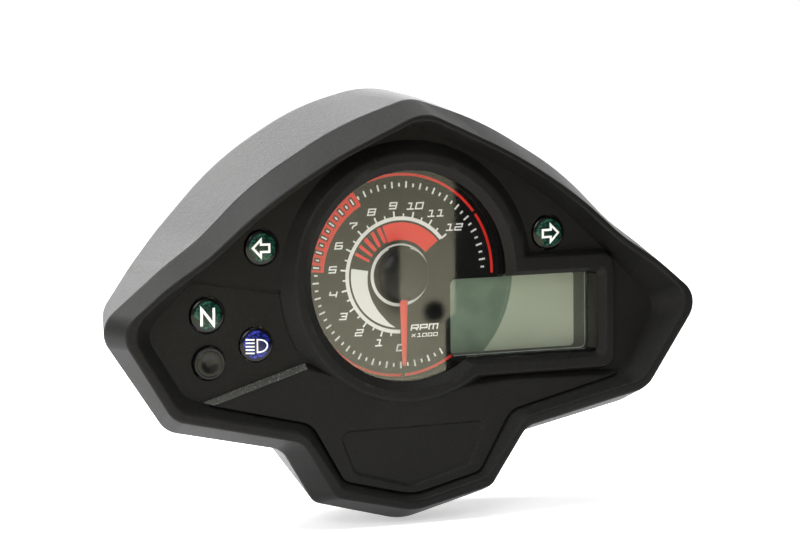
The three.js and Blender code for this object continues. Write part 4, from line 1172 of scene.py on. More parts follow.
@dataclass
class FrontBezel:
    """The front moulding: rim, inner walls, fascia floor, collars, pad and holes."""

    form: CaseForm
    wall: float = 2.4
    parting_ahead: float = 5.3
    rim_ahead: float = 18.2
    floor_ahead: float = 6.8
    lower_ahead: float = 9.8
    slope: float = 1.8
    collar_ahead: float = 10.8
    sight_ahead: float = 8.4
    pane_ahead: float = 8.1
    lip_ahead: float = 7.4
    lower_border: tuple[Pair, ...] = ((-84, -41.8), (-39, -28.2), (0, -40), (39, -36.5),
                                      (84, -37.8))
    neutral_border: tuple[Pair, ...] = ((-100, 6.2), (-44, -3.8), (-39, -28.2), (-84, -41.8),
                                        (-104, -20))
    pad_corners: tuple[Pair, ...] = ((28.4, -53.0), (22.0, -67.2), (0, -73.4), (-21.4, -67.4),
                                     (-26.9, -53.3))
    groove: tuple[Pair, ...] = ((-98.0, 5.8), (-47.5, -3.2))
    groove_width: float = 1.5
    collar_foot: float = 47.7
    neutral_sunk: float = 0.4
    lamp_hole: float = 6.3
    button_hole: float = 5.9
    post_radius: float = 4.2
    post_back: float = 17.7
    pilot_radius: float = 1.8
    pilot_front: float = 5.7
    skin_proud: float = 0.04
    skin_thick: float = 0.3
    posts: tuple[Pair, ...] = tuple(CASE_SCREWS.values())

    def shell(self) -> bpy.types.Mesh:
        """The rim, the walls and the floor, with every edge rounded."""
        form, floor_back = self.form, self.wall - self.floor_ahead
        rings = [
            ring_at(form.outline(form.floor, self.wall), floor_back),
            ring_at(form.outline(form.rim_outer, -2.0), 3.0 - self.rim_ahead, form.rim_lean),
            ring_at(form.outline(form.shell, -4.4), -self.parting_ahead, form.lean),
            ring_at(form.outline(form.shell), -self.parting_ahead, form.lean),
            ring_at(form.outline(form.rim_outer), -self.rim_ahead, form.rim_lean),
            ring_at(form.outline(form.rim_inner), -self.rim_ahead, form.rim_lean),
            ring_at(form.outline(form.floor), -self.floor_ahead),
        ]
        return loft(soften(rings, [0, 0.8, 0, 0.7, 1.1, 0.8, 0], 4))

    def raised(self) -> bpy.types.Mesh:
        """The lower field of the floor, which stands proud behind a sloped facet."""
        def border(drop: float) -> np.ndarray:
            """The field's outline, its upper border lowered."""
            low = [(self.form.half_width, -self.form.drop_height),
                   (-self.form.half_width, -self.form.drop_height)]
            top = [(x, z - drop) for x, z in self.lower_border]
            return round_outline([*top, *low], [2, 6, 5, 8, 2, 1, 1], [2, 5, 5, 5, 2, 1, 1])

        rings = [ring_at(border(0), 0.3 - self.floor_ahead), ring_at(border(0), -self.floor_ahead),
                 ring_at(border(self.slope), -self.lower_ahead),
                 ring_at(border(self.slope + 3), -self.lower_ahead)]
        field_body = loft(soften(rings, [0, 0, 0.6, 0], 4))
        within = prism(self.form.outline(self.form.floor, 0.4), -self.lower_ahead - 4,
                       -self.floor_ahead + 4)
        return solid(field_body, [(Combine.COMMON, within)])

    def collars(self) -> list[bpy.types.Mesh]:
        """The ring round the dial and the frame round the display."""
        base, crest = 0.3 - self.floor_ahead, -self.collar_ahead
        ring = lathe([(0.0, base), (self.collar_foot, base), (43.3, crest), (40.0, crest),
                      (0.0, crest)], [0, 0, 0.9, 0, 0], steps=128, rounding=5)
        frame = soften([
            ring_at(oblong(0, 79.7, -37.5, 6.1, 5.9), base),
            ring_at(oblong(0, 78.2, -36.0, 4.6, 4.4), crest),
            ring_at(oblong(3, 76.4, -34.2, 2.8, 3.2), crest),
        ], [0, 0.8, 0], 5)
        return [ring, loft(frame)]

    def pad(self) -> bpy.types.Mesh:
        """Cutter of the recessed pad in the lower lobe."""
        def border(grow: float) -> np.ndarray:
            """The pad's outline."""
            return round_outline(offset_outline(np.array(self.pad_corners), grow), [3, 4, 12, 4, 3],
                                 [6, 6, 6, 6, 6])

        floor_y = 1.2 - self.lower_ahead
        return loft(soften([ring_at(border(-1.5), floor_y), ring_at(border(0), floor_y),
                            ring_at(border(0.8), -self.lower_ahead),
                            ring_at(border(1.4), -self.lower_ahead - 1)], [0, 0.5, 0.3, 0], 3))

    def funnel(self) -> list[bpy.types.Mesh]:
        """Cutters of the sloped openings in both collars, rounded at their crest."""
        crest, sight = -self.collar_ahead, -self.sight_ahead

        def stages(rings: Sequence[np.ndarray]) -> bpy.types.Mesh:
            """One opening through its four outlines."""
            heights = (crest - 0.6, crest, sight, sight + 1.5)
            return loft(soften([ring_at(r, y) for r, y in zip(rings, heights)], [0, 0.45, 0, 0], 4))

        square = lambda right, bottom, top, corner: oblong(0, right, bottom, top, corner, 10)
        return [stages([circle(r, 128) for r in (42.6, 40.0, 36.9, 36.9)]),
                stages([square(77.6, -34.5, 2.0, 4.5), square(75.4, -32.3, -0.2, 3.0),
                        square(72.8, -30.7, -1.9, 2.0), square(72.8, -30.7, -1.9, 2.0)])]

    def window_hole(self) -> list[bpy.types.Mesh]:
        """Cutters of the funnels, of the window's pocket and of the rebate behind it."""
        def keyhole(grow: float, start: float, end: float) -> list[bpy.types.Mesh]:
            """Disc and oblong of the opening."""
            return [bar(PANE_RADIUS + grow, start, end, steps=128),
                    prism(pane_rect(grow), start, end)]

        return [*self.funnel(), *keyhole(0.3, -self.pane_ahead, 0.3 - self.lip_ahead),
                *keyhole(1.7, -self.lip_ahead, 0.3)]

    def build(self, shop: Workshop) -> None:
        """Makes the moulding.

        Args:
            shop: Where it is finished.
        """
        form, face, floor_back = self.form, -self.floor_ahead, self.wall - self.floor_ahead
        sunk_face = self.neutral_sunk + face
        neutral = prism(np.array(self.neutral_border), sunk_face, face - 0.3)
        within = prism(form.outline(form.floor, -0.3), face - 4, face + 4)
        raised, collars = self.raised(), self.collars()
        round_collar = bar(self.collar_foot + 0.2, face - 1, face + 1, steps=96)
        sunk = solid(neutral, [(Combine.COMMON, within), (Combine.CUT, raised.copy()),
                               (Combine.CUT, round_collar)])
        posts = [bar(self.post_radius, floor_back - 0.3, self.post_back, at, 24)
                 for at in self.posts]
        groove = ribbon(self.groove, self.groove_width, level(self.floor_ahead - 0.75), 1.5)
        cuts = [sunk, solid(groove, [(Combine.COMMON, within)]), self.pad(), *self.window_hole()]
        cuts += [flared_hole(self.lamp_hole, face if sign is not Sign.NEUTRAL else sunk_face,
                             floor_back + 2, 0.35, at) for sign, at in zip(Sign, LAMPS)]
        cuts.append(flared_hole(self.button_hole, sunk_face, floor_back + 2, 0.3, BUTTON))
        cuts += [bar(self.pilot_radius, self.pilot_front, 20.0, at, 16) for at in self.posts]
        shop.piece("bezel_moulding", shaped(self.shell(), [raised, *collars, *posts], cuts),
                   "case_plastic", stands_for=["front_bezel"], crease=28)
        shop.piece("facet_texture", self.facet(), "facet_highlight_plastic")

    def facet(self) -> bpy.types.Mesh:
        """A skin on the sloped facet at the left of the raised field: a coarser grain, and a paler
        colour that is painted highlight where the facet faces the light.
        """
        fall = self.lower_ahead - self.floor_ahead
        out = np.array([0.0, -self.slope, fall]) / math.hypot(self.slope, fall)
        rings = []
        for x, z in self.lower_border[:2]:
            foot = np.array([x, 0.05 - self.floor_ahead, z])
            crest = np.array([x, 0.15 - self.lower_ahead, z - self.slope + 0.09])
            proud, sunk = self.skin_proud * out, self.skin_thick * out
            rings.append(np.array([foot + proud, crest + proud, crest - sunk, foot - sunk]))
        within = prism(self.form.outline(self.form.floor, 0.2), -self.lower_ahead - 1,
                       -self.floor_ahead + 1)
        return solid(loft(rings), [(Combine.COMMON, within)])


@dataclass
class RearHood:
    """The hood behind the parting line, with its screw wells, bosses and ribs."""

    form: CaseForm
    wall: float = 2.4
    front: float = -4.75
    shoulder_back: float = 31.7
    shoulder_lean: float = 0.03
    back: float = 37.7
    back_round: float = 4.0
    back_wall: float = 2.6
    boss_radius: float = 8.5
    boss_back: float = 42.7
    well_post: float = 4.9
    well_bore: float = 3.7
    well_mouth: float = 4.2
    screw_seat: float = 20.0
    pilot_radius: float = 1.8
    damper_bore: float = 4.7
    harness_bore: float = 9.3
    mounts: tuple[Pair, ...] = tuple(MOUNTS.values())
    wells: tuple[Pair, ...] = tuple(CASE_SCREWS.values())

    def shell(self) -> bpy.types.Mesh:
        """Outer skin, rounded back and the stepped front edge."""
        form, f = self.form, self.front
        rings = [
            ring_at(form.outline(form.shoulder, -self.back_round - self.wall / 2),
                    self.back - self.back_wall),
            ring_at(form.outline(form.shoulder, -self.wall), self.shoulder_back - self.wall / 2,
                    self.shoulder_lean),
            ring_at(form.outline(form.shell, -self.wall - 0.3), f + 4.7, form.lean),
            ring_at(form.outline(form.shell, -self.wall - 2.2), f + 1.7, form.lean),
            ring_at(form.outline(form.shell, -self.wall), f + 1.7, form.lean),
            ring_at(form.outline(form.shell, -self.wall), f, form.lean),
            ring_at(form.outline(form.shell), f, form.lean),
            ring_at(form.outline(form.shoulder), self.shoulder_back, self.shoulder_lean),
            ring_at(form.outline(form.shoulder, -1.0), (self.shoulder_back + self.back) / 2,
                    self.shoulder_lean / 2),
            ring_at(form.outline(form.shoulder, -self.back_round), self.back),
            ring_at(form.outline(form.shoulder, -self.back_round - 4), self.back),
        ]
        return loft(soften(rings, [0, 0, 0, 0, 0, 0, 0.5, 9, 1.5, 2.2, 0], 6))

    def rib(self, start: Pair, end: Pair) -> bpy.types.Mesh:
        """A rib between two bosses, tapered and rounded along its crest."""
        a, b = np.array(start, float), np.array(end, float)
        along = (b - a) / np.linalg.norm(b - a)
        across = np.array([-along[1], along[0]])
        rings = []
        for y, half in ((self.back - 1.3, 1.25), (self.back, 1.1), (self.back + 2.2, 0.85),
                        (self.back + 2.6, 0.5)):
            corners = [a + across * half, b + across * half, b - across * half, a - across * half]
            rings.append(ring_at(np.array(corners), y))
        return loft(rings)

    def build(self, shop: Workshop) -> None:
        """Makes the hood.

        Args:
            shop: Where it is finished.
        """
        back, boss, seat = self.back, self.boss_radius, self.screw_seat
        joins = [bar(self.well_post, seat - 2, back - 1.3, at, 32) for at in self.wells]
        profile = [(0, back - 9), (boss + 0.4, back - 9), (boss + 0.4, back),
                   (boss, self.boss_back), (0, self.boss_back)]
        joins += [lathe(profile, [0, 0, 0.5, 0.6, 0], at, 64, 4) for at in self.mounts]
        joins += [self.rib(self.mounts[i - 1], at) for i, at in enumerate(self.mounts)]
        well = [(self.well_bore, seat), (self.well_bore, back - 0.5), (self.well_mouth, back),
                (self.well_mouth, back + 3)]
        cuts = [cutter for at in self.wells for cutter in (
            revolve(well, at, 32), bar(self.pilot_radius, seat - 6, seat + 4, at, 16))]
        cuts += [bar(self.damper_bore, back - 6.4, back + 8.5, at, 32) for at in self.mounts]
        cuts.append(bar(self.harness_bore, back - 8, back + 4, HARNESS))
        shop.piece("hood_moulding", shaped(self.shell(), joins, cuts), "hood_plastic",
                   stands_for=["rear_housing"], crease=30)


@dataclass
class Window:
    """The clear pane over dial and display, with the step between them."""

    back_ahead: float = 6.3
    flange: float = 1.4
    flange_thick: float = 0.8
    dial_ahead: float = 7.8
    display_ahead: float = 7.3
    radius: float = PANE_RADIUS

    def build(self, shop: Workshop) -> None:
        """Makes the pane."""
        back, front = -self.back_ahead, -self.display_ahead
        disc = lathe([(0, back), (self.radius, back), (self.radius, -self.dial_ahead),
                      (0, -self.dial_ahead)], [0, 0, 0.35, 0], steps=128, rounding=4)
        pane = loft(soften([ring_at(pane_rect(0), back), ring_at(pane_rect(0), front),
                            ring_at(pane_rect(-2), front)], [0, 0.3, 0], 3))
        flange_front = back - self.flange_thick
        flange = bar(self.radius + self.flange, back, flange_front, steps=128)
        border = prism(pane_rect(self.flange), back, flange_front)
        shop.piece("window_pane", shaped(flange, [border, disc, pane]), "clear_acrylic",
                   stands_for=["window_lens"], crease=15)


# ---------------------------------------------------------------- dial


class Glyph(Enum):
    """Strokes of the dial's squarish italic figures and letters, on a unit box."""

    ZERO = ("0", (((0, 0), (1, 0), (1, 1), (0, 1), (0, 0)),))
    ONE = ("1", (((0.1, 1), (0.62, 1), (0.62, 0)), ((0.05, 0), (1.1, 0))))
    TWO = ("2", (((0, 1), (1, 1), (1, 0.5), (0, 0.5), (0, 0), (1.05, 0)),))
    THREE = ("3", (((0, 1), (1, 1), (1, 0), (0, 0)), ((0.25, 0.5), (1, 0.5))))
    FOUR = ("4", (((0, 1), (0, 0.42), (1, 0.42)), ((1, 1), (1, 0))))
    FIVE = ("5", (((1.05, 1), (0, 1), (0, 0.5), (1, 0.5), (1, 0), (0, 0)),))
    SIX = ("6", (((1, 1), (0, 1), (0, 0), (1, 0), (1, 0.5), (0, 0.5)),))
    SEVEN = ("7", (((0, 0.78), (0, 1), (1, 1), (1, 0.72), (0.5, 0.42), (0.5, 0)),))
    EIGHT = ("8", (((0, 0), (1, 0), (1, 1), (0, 1), (0, 0)), ((0, 0.5), (1, 0.5))))
    NINE = ("9", (((0, 0), (1, 0), (1, 1), (0, 1), (0, 0.5), (1, 0.5)),))
    R = ("R", (((0, 0), (0, 1), (1, 1), (1, 0.45), (0, 0.45)), ((0.62, 0.45), (1, 0))))
    P = ("P", (((0, 0), (0, 1), (1, 1), (1, 0.42), (0, 0.42)),))
    M = ("M", (((0, 0), (0, 1), (1.25, 1), (1.25, 0)), ((0.62, 1), (0.62, 0))))
    X = ("x", (((0, 0), (1, 1)), ((0, 1), (1, 0))))

    @classmethod
    def strokes(cls, letter: str) -> tuple[tuple[Pair, ...], ...]:
        """The strokes of a character."""
        return next(g.value[1] for g in cls if g.value[0] == letter)


@dataclass(frozen=True)
class Lettering:
    """A size of the dial's lettering."""

    width: float
    height: float
    stroke: float
    pitch: float
    slant: float = 0.27

    def word(self, text: str, centre: Pair, ahead: float = 0.02) -> list[bpy.types.Mesh]:
        """Sets a word about its centre.

        Args:
            text: The word.
            centre: Its middle.
            ahead: Where its back face lies.

        Returns:
            One mesh for each stroke.
        """
        span = self.pitch * (len(text) - 1) + self.width
        out = []
        for i, letter in enumerate(text):
            for n, stroke in enumerate(Glyph.strokes(letter)):
                path = []
                for u, v in stroke:
                    z = (v - 0.5) * self.height
                    x = i * self.pitch - span / 2 + u * self.width + z * self.slant
                    path.append((centre[0] + x, centre[1] + z))
                closed = path[0] == path[-1]
                out.append(ribbon(path[:-1] if closed else path, self.stroke,
                                  level(ahead + 0.004 * n), closed=closed))
        return out


@dataclass
class DialFace:
    """The mask, the dial plate and everything printed on it."""

    degrees_per_unit: float = 19.4
    units: int = 12
    scale_radius: float = 19.9
    scale_width: float = 1.35
    figure_radii: tuple[float, ...] = (25.6, 24.8, 24.9, 25.4, 25.8, 25.5, 25.5, 25.1, 24.8, 24.5,
                                       24.7, 25.2, 26.2)
    ring_radius: float = 10.5
    ring_width: float = 1.15
    red_arc_radius: float = 35.3
    red_arc_width: float = 0.95
    red_arcs: tuple[Pair, ...] = ((160.0, 233.2), (235.2, 271.6), (326.4, 357.6), (359.6, 416.0))
    crescent_edge: float = 18.5
    crescent_ends: tuple[Pair, ...] = ((12.1, 99.6), (12.3, 84.8), (12.95, 62.7), (14.1, 42.2),
                                       (15.7, 25.1), (17.4, 13.4), (18.4, 6.0))
    print_shift: Pair = (-0.3, -0.3)
    bars: tuple[tuple[float, float, Pair], ...] = ((154.6, 154.6, (1.27, 1.57)),
                                                   (144.0, 146.0, (1.3, 1.37)),
                                                   (134.6, 135.6, (1.36, 1.5)),
                                                   (124.6, 125.8, (1.05, 1.25)),
                                                   (115.0, 116.2, (0.95, 1.15)))
    opening: float = 36.9
    plate_radius: float = 39.6
    plate_thick: float = 0.8
    bore: float = 2.2
    ink: Lift = level(0.02)
    outer_step: float = 360.0 / 37
    figures: Lettering = Lettering(2.5, 2.05, 0.5, 3.5)
    unit_word: Lettering = Lettering(2.5, 1.85, 0.5, 3.4, 0.2)
    unit_factor: Lettering = Lettering(1.45, 1.05, 0.3, 2.1, 0.2)

    def mask(self, shop: Workshop) -> None:
        """Black mask with its conical wall and the bevel round the display, and a paler strip on
        the bevel's right wall that is painted highlight.
        """
        cone = lathe([(0, -7), (39.2, -7), (38.9, -6.0), (self.opening, -1.5), (self.opening, 4),
                      (0, 4)], [0, 0, 0.3, 0.4, 0, 0], steps=128)
        opening = lambda grow: oblong(0, 72.6 + grow, -30.8 - grow, -2.4 + grow, 1.2 + grow)
        well = loft([ring_at(opening(1.8), -6.3), ring_at(opening(0), -0.3),
                     ring_at(opening(0), 4)])
        blank = prism(oblong(0, 76.8, -33.7, 1.2, 4.4), -6.0, -0.3)
        shop.piece("mask_moulding", shaped(bar(40.9, -6.0, -0.3, steps=128), [blank], [cone, well]),
                   "mask_plastic", stands_for=["dial_mask"], crease=25)
        # Painted highlight: a paler strip on the right wall of the display's well, where that wall
        # faces the light.
        lit_strip = [np.array([(72.52, -0.4, z), (74.28, -6.2, z), (74.45, -6.2, z), (72.7, -0.4, z)])
                  for z in (-29.9, -3.3)]
        shop.piece("well_lining", loft(lit_strip), "well_wall_highlight")

    def plate(self, shop: Workshop) -> None:
        """Dial plate with a round-cornered window over the display's left end."""
        edge, thick = self.plate_radius, self.plate_thick
        disc = revolve([(0, 0), (edge, 0), (edge, thick), (0, thick)], steps=128)
        view = prism(oblong(18.9, 72.6, -30.4, -2.9, 2.3), -2, 3)
        shop.piece("dial_face", shaped(disc, cuts=[bar(self.bore, -2, 3, steps=32), view]),
                   "dial_print", stands_for=["dial_plate"])

    @staticmethod
    def _marks(pattern: Pattern, count: int, start: float, step: float, ends: Pair, width: float,
               **more: float) -> bpy.types.Mesh:
        """A row of marks.

        Args:
            pattern: Their pattern.
            count: How many.
            start: The first one's angle.
            step: The angle between two.
            ends: The radii of their ends.
            width: Their width.
            more: Other inputs of the pattern.

        Returns:
            Their mesh.
        """
        inner, outer = ends
        return pattern.mesh(values={"Count": count, "Start": start, "Step": step,
                                    "Middle": (inner + outer) / 2, "Length": outer - inner,
                                    "Width": width, **more})

    def registered(self, parts: Sequence[bpy.types.Mesh]) -> bpy.types.Mesh:
        """The print as one mesh, set off from the axis as far as the printing is."""
        mesh = merged(parts)
        mesh.transform(Matrix.Translation((self.print_shift[0], 0.0, self.print_shift[1])))
        return mesh

    def white_print(self, shop: Workshop) -> None:
        """Scale, figures, hub ring, crescent and outer marks in white."""
        pattern = radial_marks(shop.material("dial_white"))
        per, units, step = self.degrees_per_unit, self.units, self.outer_step
        parts = [
            ribbon(dial_arc(self.scale_radius, 0.0, per * units), self.scale_width, self.ink),
            ribbon(dial_arc(self.ring_radius, 204.0, 516.0, 4.0), self.ring_width, self.ink),
            ribbon(dial_arc(self.ring_radius + 0.25, 156.0, 204.0, 4.0), self.ring_width - 0.5,
                   self.ink),
            self.crescent(),
            self._marks(pattern, units, per, per, (20.0, 22.5), 0.62),
            self._marks(pattern, units, per / 2, per, (20.0, 21.6), 0.55),
        ]
        for ends, shift in (((30.6, 32.9), 0.0), ((31.0, 32.3), step / 2)):
            parts += [self._marks(pattern, count, shift + first * step, step, ends, 0.62, Ahead=0.1)
                      for count, first in ((28, 0), (3, -3))]
        for number, radius in enumerate(self.figure_radii):
            parts += self.figures.word(str(number), on_dial(radius, per * number))
        parts += self.unit_word.word("RPM", (8.9, -18.9))
        parts += self.unit_factor.word("x1000", (9.2, -21.6))
        shop.piece("dial_white_print", self.registered(parts), "dial_white",
                   crease=20)

    def crescent(self) -> bpy.types.Mesh:
        """White crescent inside the scale, from full width at its upper end to a point."""
        radii, ends = zip(*self.crescent_ends[::-1])
        angles = np.linspace(ends[-1], ends[0], 47)
        inner = np.interp(angles, ends, radii)
        path = [on_dial((self.crescent_edge + r) / 2, a) for r, a in zip(inner, angles)]
        return ribbon(path, list(self.crescent_edge - inner), self.ink)

    def red_print(self, shop: Workshop) -> None:
        """Warning wedge, its leading bars, the red block and the thin red arcs."""
        parts = [ribbon([on_dial(12.7, inner), on_dial(18.6, outer)], widths, self.ink)
                 for inner, outer, widths in self.bars]
        parts += [ribbon(dial_arc(15.4, 159.4, 232.0), 6.2, self.ink),
                  ribbon(dial_arc(32.85, 94.6, 150.0), 8.1, self.ink, 0.03)]
        parts += [ribbon(dial_arc(self.red_arc_radius, start, end), self.red_arc_width, self.ink)
                  for start, end in self.red_arcs]
        shop.piece("dial_red_print", self.registered(parts), "dial_red", crease=20)
        step, pattern = self.outer_step, radial_marks(shop.material("dial_print"))
        outlines = [self._marks(pattern, count, first * step, step, ends, 1.55, Ahead=0.06,
                                Thick=0.06)
                    for count, first, ends in ((6, 10, (30.1, 33.4)), (5, 10.5, (30.6, 32.8)))]
        shop.piece("dial_mark_outlines", self.registered(outlines), "dial_print", crease=20)

    def build(self, shop: Workshop) -> None:
        """Makes the dial."""
        self.mask(shop)
        self.plate(shop)
        self.white_print(shop)
        self.red_print(shop)


@dataclass
class Pointer:
    """The needle with its hub, and the cap on the hub."""

    reach: float = 32.0
    root_width: float = 2.95
    tip_width: float = 1.3
    root: float = 7.7
    underside: float = 2.5
    thick: float = 0.8
    hub_radius: float = 8.9
    cap_radius: float = 9.3
    cap_back: float = 3.8
    cap_rise: float = 2.1
    shaft_radius: float = 1.05
    slack: float = 0.12
    dome_shares: tuple[float, ...] = (1.0, 0.985, 0.96, 0.92, 0.86, 0.78, 0.68, 0.56, 0.42, 0.28,
                                      0.14, 0.0)

    def build(self, shop: Workshop) -> None:
        """Makes the needle and the cap."""
        hub = lathe([(0, -1.4), (self.hub_radius, -1.4), (self.hub_radius, -3.5), (0, -3.5)],
                    [0, 0.3, 0.3, 0], steps=64)
        body = shaped(hub, [bar(2.4, -0.7, -1.8, steps=32)],
                      [bar(self.shaft_radius, -0.2, -2.75, steps=24)])
        shop.piece("needle_boss", body, "gloss_black", body=Body.POINTER, stands_for=["needle"],
                   crease=24)
        root, tip = self.root_width / 2, self.tip_width / 2
        low, high = -self.underside, -self.underside - self.thick
        rings = [np.array([(-half, low, z), (half, low, z), (half, low - 0.3, z), (0.12, high, z),
                           (-0.12, high, z), (-half, low - 0.3, z)])
                 for z, half in ((-self.root, root), (-self.root - 0.5, root),
                                 (0.5 - self.reach, tip + 0.03), (-self.reach, tip - 0.25))]
        shop.piece("needle_arm", loft(rings), "needle_red", body=Body.POINTER, crease=24)
        dome = [(self.cap_radius * share, -self.cap_back - self.cap_rise * (1 - share ** 4) ** 0.9)
                for share in self.dome_shares]
        side = root + self.slack
        notch = np.array([(-side, -self.root), (side, -self.root), (side, -12.0), (-side, -12.0)])
        cap = shaped(revolve([(0, -self.cap_back), *dome], steps=96),
                     cuts=[prism(notch, -9.0, -1.0)])
        shop.piece("hub_dome", cap, "gloss_black", body=Body.POINTER, stands_for=["needle_hub_cap"],
                   crease=40)


@dataclass
class DisplayCell:
    """The liquid crystal glass, its polariser film, and a pale line along the right and bottom
    edges of its front sheet that is painted highlight.
    """

    left: float = 18.4
    right: float = 72.6
    bottom: float = -30.8
    top: float = -2.4
    front_ahead: float = -1.1
    sheet: float = 1.3
    ledge: float = 1.9
    film_right: float = 67.6
    film_bottom: float = -29.2
    edge_right: float = 72.1
    edge_bottom: float = -30.2
    edge_bend: float = 2.0

    def build(self, shop: Workshop) -> None:
        """Makes the cell."""
        left, right, bottom, top = self.left, self.right, self.bottom, self.top
        front = -self.front_ahead
        outer = oblong(left, right, bottom, top, 1.2)
        face = soften([ring_at(outer, front + self.sheet), ring_at(outer, front),
                       ring_at(oblong(left + 1, right - 1, bottom + 1, top - 1, 0.8), front)],
                      [0, 0.2, 0], 3)
        rear = prism(oblong(left, right, bottom + self.ledge, top - self.ledge, 1.2), front + 0.3,
                     front + 2 * self.sheet)
        shop.piece("display_sheets", shaped(loft(face), [rear]), "display_glass",
                   stands_for=["lcd_glass"])
        film = oblong(left + 0.3, self.film_right, self.film_bottom, top - 0.15, 1.6)
        shop.piece("display_polariser", prism(film, front - 0.16, front - 0.02), "display_cells")
        # Painted highlight: a pale line on the right and bottom edges of the front sheet.
        x, z, bend = self.edge_right, self.edge_bottom, self.edge_bend
        edge = [(x, top - 0.6)]
        edge += [(x - bend + bend * math.cos(turn), z + bend - bend * math.sin(turn))
                 for turn in (math.radians(90 * k / 8) for k in range(9))]
        edge.append((left + 1.5, z))
        shop.piece("display_edge_line", ribbon(edge, 0.32, level(self.front_ahead + 0.02), 0.08),
                   "glass_edge_highlight")


# ---------------------------------------------------------------- lamps and button


@dataclass
class TellTale:
    """One tell-tale lamp: a domed lens with its sign."""

    sign: Sign
    centre: Pair
    radius: float = 6.0
    edge_ahead: float = 6.8
    dome: float = 1.0
    back: float = -4.7

    def surface(self, x: float, z: float) -> float:
        """Where the dome's face lies ahead of the dial at a point."""
        away = math.dist((x, z), self.centre) / self.radius
        return self.edge_ahead + self.dome * math.sqrt(max(0.0, 1 - away * away)) + 0.01

    def strokes(self) -> list[tuple[list[Pair], float, bool]]:
        """Middle lines of the sign about the lamp's centre, with their widths."""
        if self.sign in (Sign.LEFT, Sign.RIGHT):
            side = 1 if self.sign is Sign.LEFT else -1
            arrow = [(-3.5, -0.1), (-0.6, 2.7), (-0.6, 1.05), (2.5, 0.95), (2.5, -1.55),
                     (-0.6, -1.5), (-0.6, -3.2)]
            return [([(side * x, z) for x, z in arrow], 0.8, True)]
        if self.sign is Sign.NEUTRAL:
            return [([(-2.35, -3.6), (-2.35, 2.3), (2.05, -3.4), (2.05, 2.5)], 0.95, False)]
        bars = [([(-4.1, z + 0.08), (-0.9, z - 0.08)], 0.5, False)
                for z in (1.85, 0.7, -0.5, -1.65, -2.8)]
        lamp = [(0.1, -2.6)] + [(0.75 + 3.1 * math.cos(a), 2.15 * math.sin(a) - 0.45)
                                for a in np.radians(np.linspace(-80, 80, 13))] + [(0.1, 1.75)]
        return [*bars, (lamp, 0.5, True)]

    def build(self, shop: Workshop) -> None:
        """Makes the lens and its sign."""
        edge = -self.edge_ahead
        dome = [(self.radius * math.sin(a), edge - self.dome * math.cos(a))
                for a in np.radians(np.linspace(90, 0, 11))]
        slot, sign = "blue_lens" if self.sign is Sign.HIGH_BEAM else "green_lens", self.sign.value
        finish = replace(FINISHES[slot], name=f"{slot}_{sign}", centre=self.centre)
        shop.piece(f"{sign}_dome", revolve([(0, self.back), (self.radius, self.back), *dome],
                                           self.centre, 64), finish,
                   stands_for=[f"{sign}_lens"], crease=50)
        parts = []
        for path, width, closed in self.strokes():
            line = finer([*path, path[0]] if closed else path, 0.4)
            line = [(x + self.centre[0], z + self.centre[1]) for x, z in line]
            parts.append(ribbon(line[:-1] if closed else line, width, self.surface, 0.03, closed))
        shop.piece(f"{sign}_sign", merged(parts), "dial_white", crease=60)


@dataclass
class PushButton:
    """The dished push button."""

    radius: float = 5.6
    floor_ahead: float = 6.8
    proud: float = 1.3
    dish: float = 0.5
    dish_radius: float = 2.6

    def build(self, shop: Workshop) -> None:
        """Makes the cap."""
        front = -self.floor_ahead - self.proud
        r = self.radius
        profile = [(0, front + self.dish), (self.dish_radius * 0.6, front + self.dish * 0.92),
                   (self.dish_radius + 0.4, front), (r - 1.25, front - 0.02),
                   (r - 1.1, front + 0.12), (r - 0.95, front + 0.02), (r - 0.3, front),
                   (r, front + 0.3), (r, -4.1), (r + 1.2, -4.1), (r + 1.2, -2.9), (2.2, -2.9),
                   (2.2, 6.9), (0, 6.9)]
        radii = [0, 0.5, 0.5, 0.1, 0.1, 0.1, 0.2, 0.2, 0, 0.2, 0.2, 0, 0.2, 0]
        shop.piece("button_dome", lathe(profile, radii, BUTTON, 64), "smoke_plastic",
                   body=Body.BUTTON, stands_for=["button_cap"], crease=35)


# ---------------------------------------------------------------- back of the case


@dataclass
class Fasteners:
    """Case and board screws, all copies of two shapes."""

    sets: tuple[tuple[str, dict[str, Pair], tuple[float, ...]], ...] = (
        ("case", CASE_SCREWS, (3.4, 2.2, 1.5, 12.0)),
        ("board", BOARD_SCREWS, (2.6, 1.6, 1.2, 10.0)))
    first_seed: int = 7

    @staticmethod
    def screw(head: float, height: float, shank: float, length: float) -> bpy.types.Object:
        """A pan-head screw with a cross recess, its head's seat at Y = 0.

        Args:
            head: Radius of the head.
            height: Height of the head.
            shank: Radius of the thread.
            length: Length of the shank.

        Returns:
            An object that the pattern copies.
        """
        blank = lathe([(0, -length), (shank * 0.3, -length), (shank, -length + 2), (shank, 0),
                       (head, 0), (head, height * 0.45), (head * 0.72, height), (0, height)],
                      [0, 0, 0, 0, 0.1, 0.5, 0.6, 0], steps=32)
        reach, half = head * 0.58, head * 0.15
        cross = [loft([ring_at(sharp_box(w, h) * share, y)
                       for y, share in ((height - 1.2, 0.72), (height + 1, 1.05))])
                 for w, h in ((reach, half), (half, reach))]
        return placed("screw_shape", shaped(blank, cuts=cross))

    def build(self, shop: Workshop) -> None:
        """Makes both sets of screws."""
        for seed, (kind, places, sizes) in enumerate(self.sets, self.first_seed):
            shape = self.screw(*sizes)
            nodes = [f"{kind}_screw_{name}" for name in places]
            seat = (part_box(nodes[0])[1].y - shop.dial_plane) / MM - sizes[1]
            points = [(x, seat, z) for x, z in places.values()]
            mesh = copies(shop.material("zinc_steel"), shape, seed).mesh(points)
            bpy.data.objects.remove(shape)
            shop.piece(f"{kind}_screws", mesh, "zinc_steel", stands_for=nodes, crease=30)


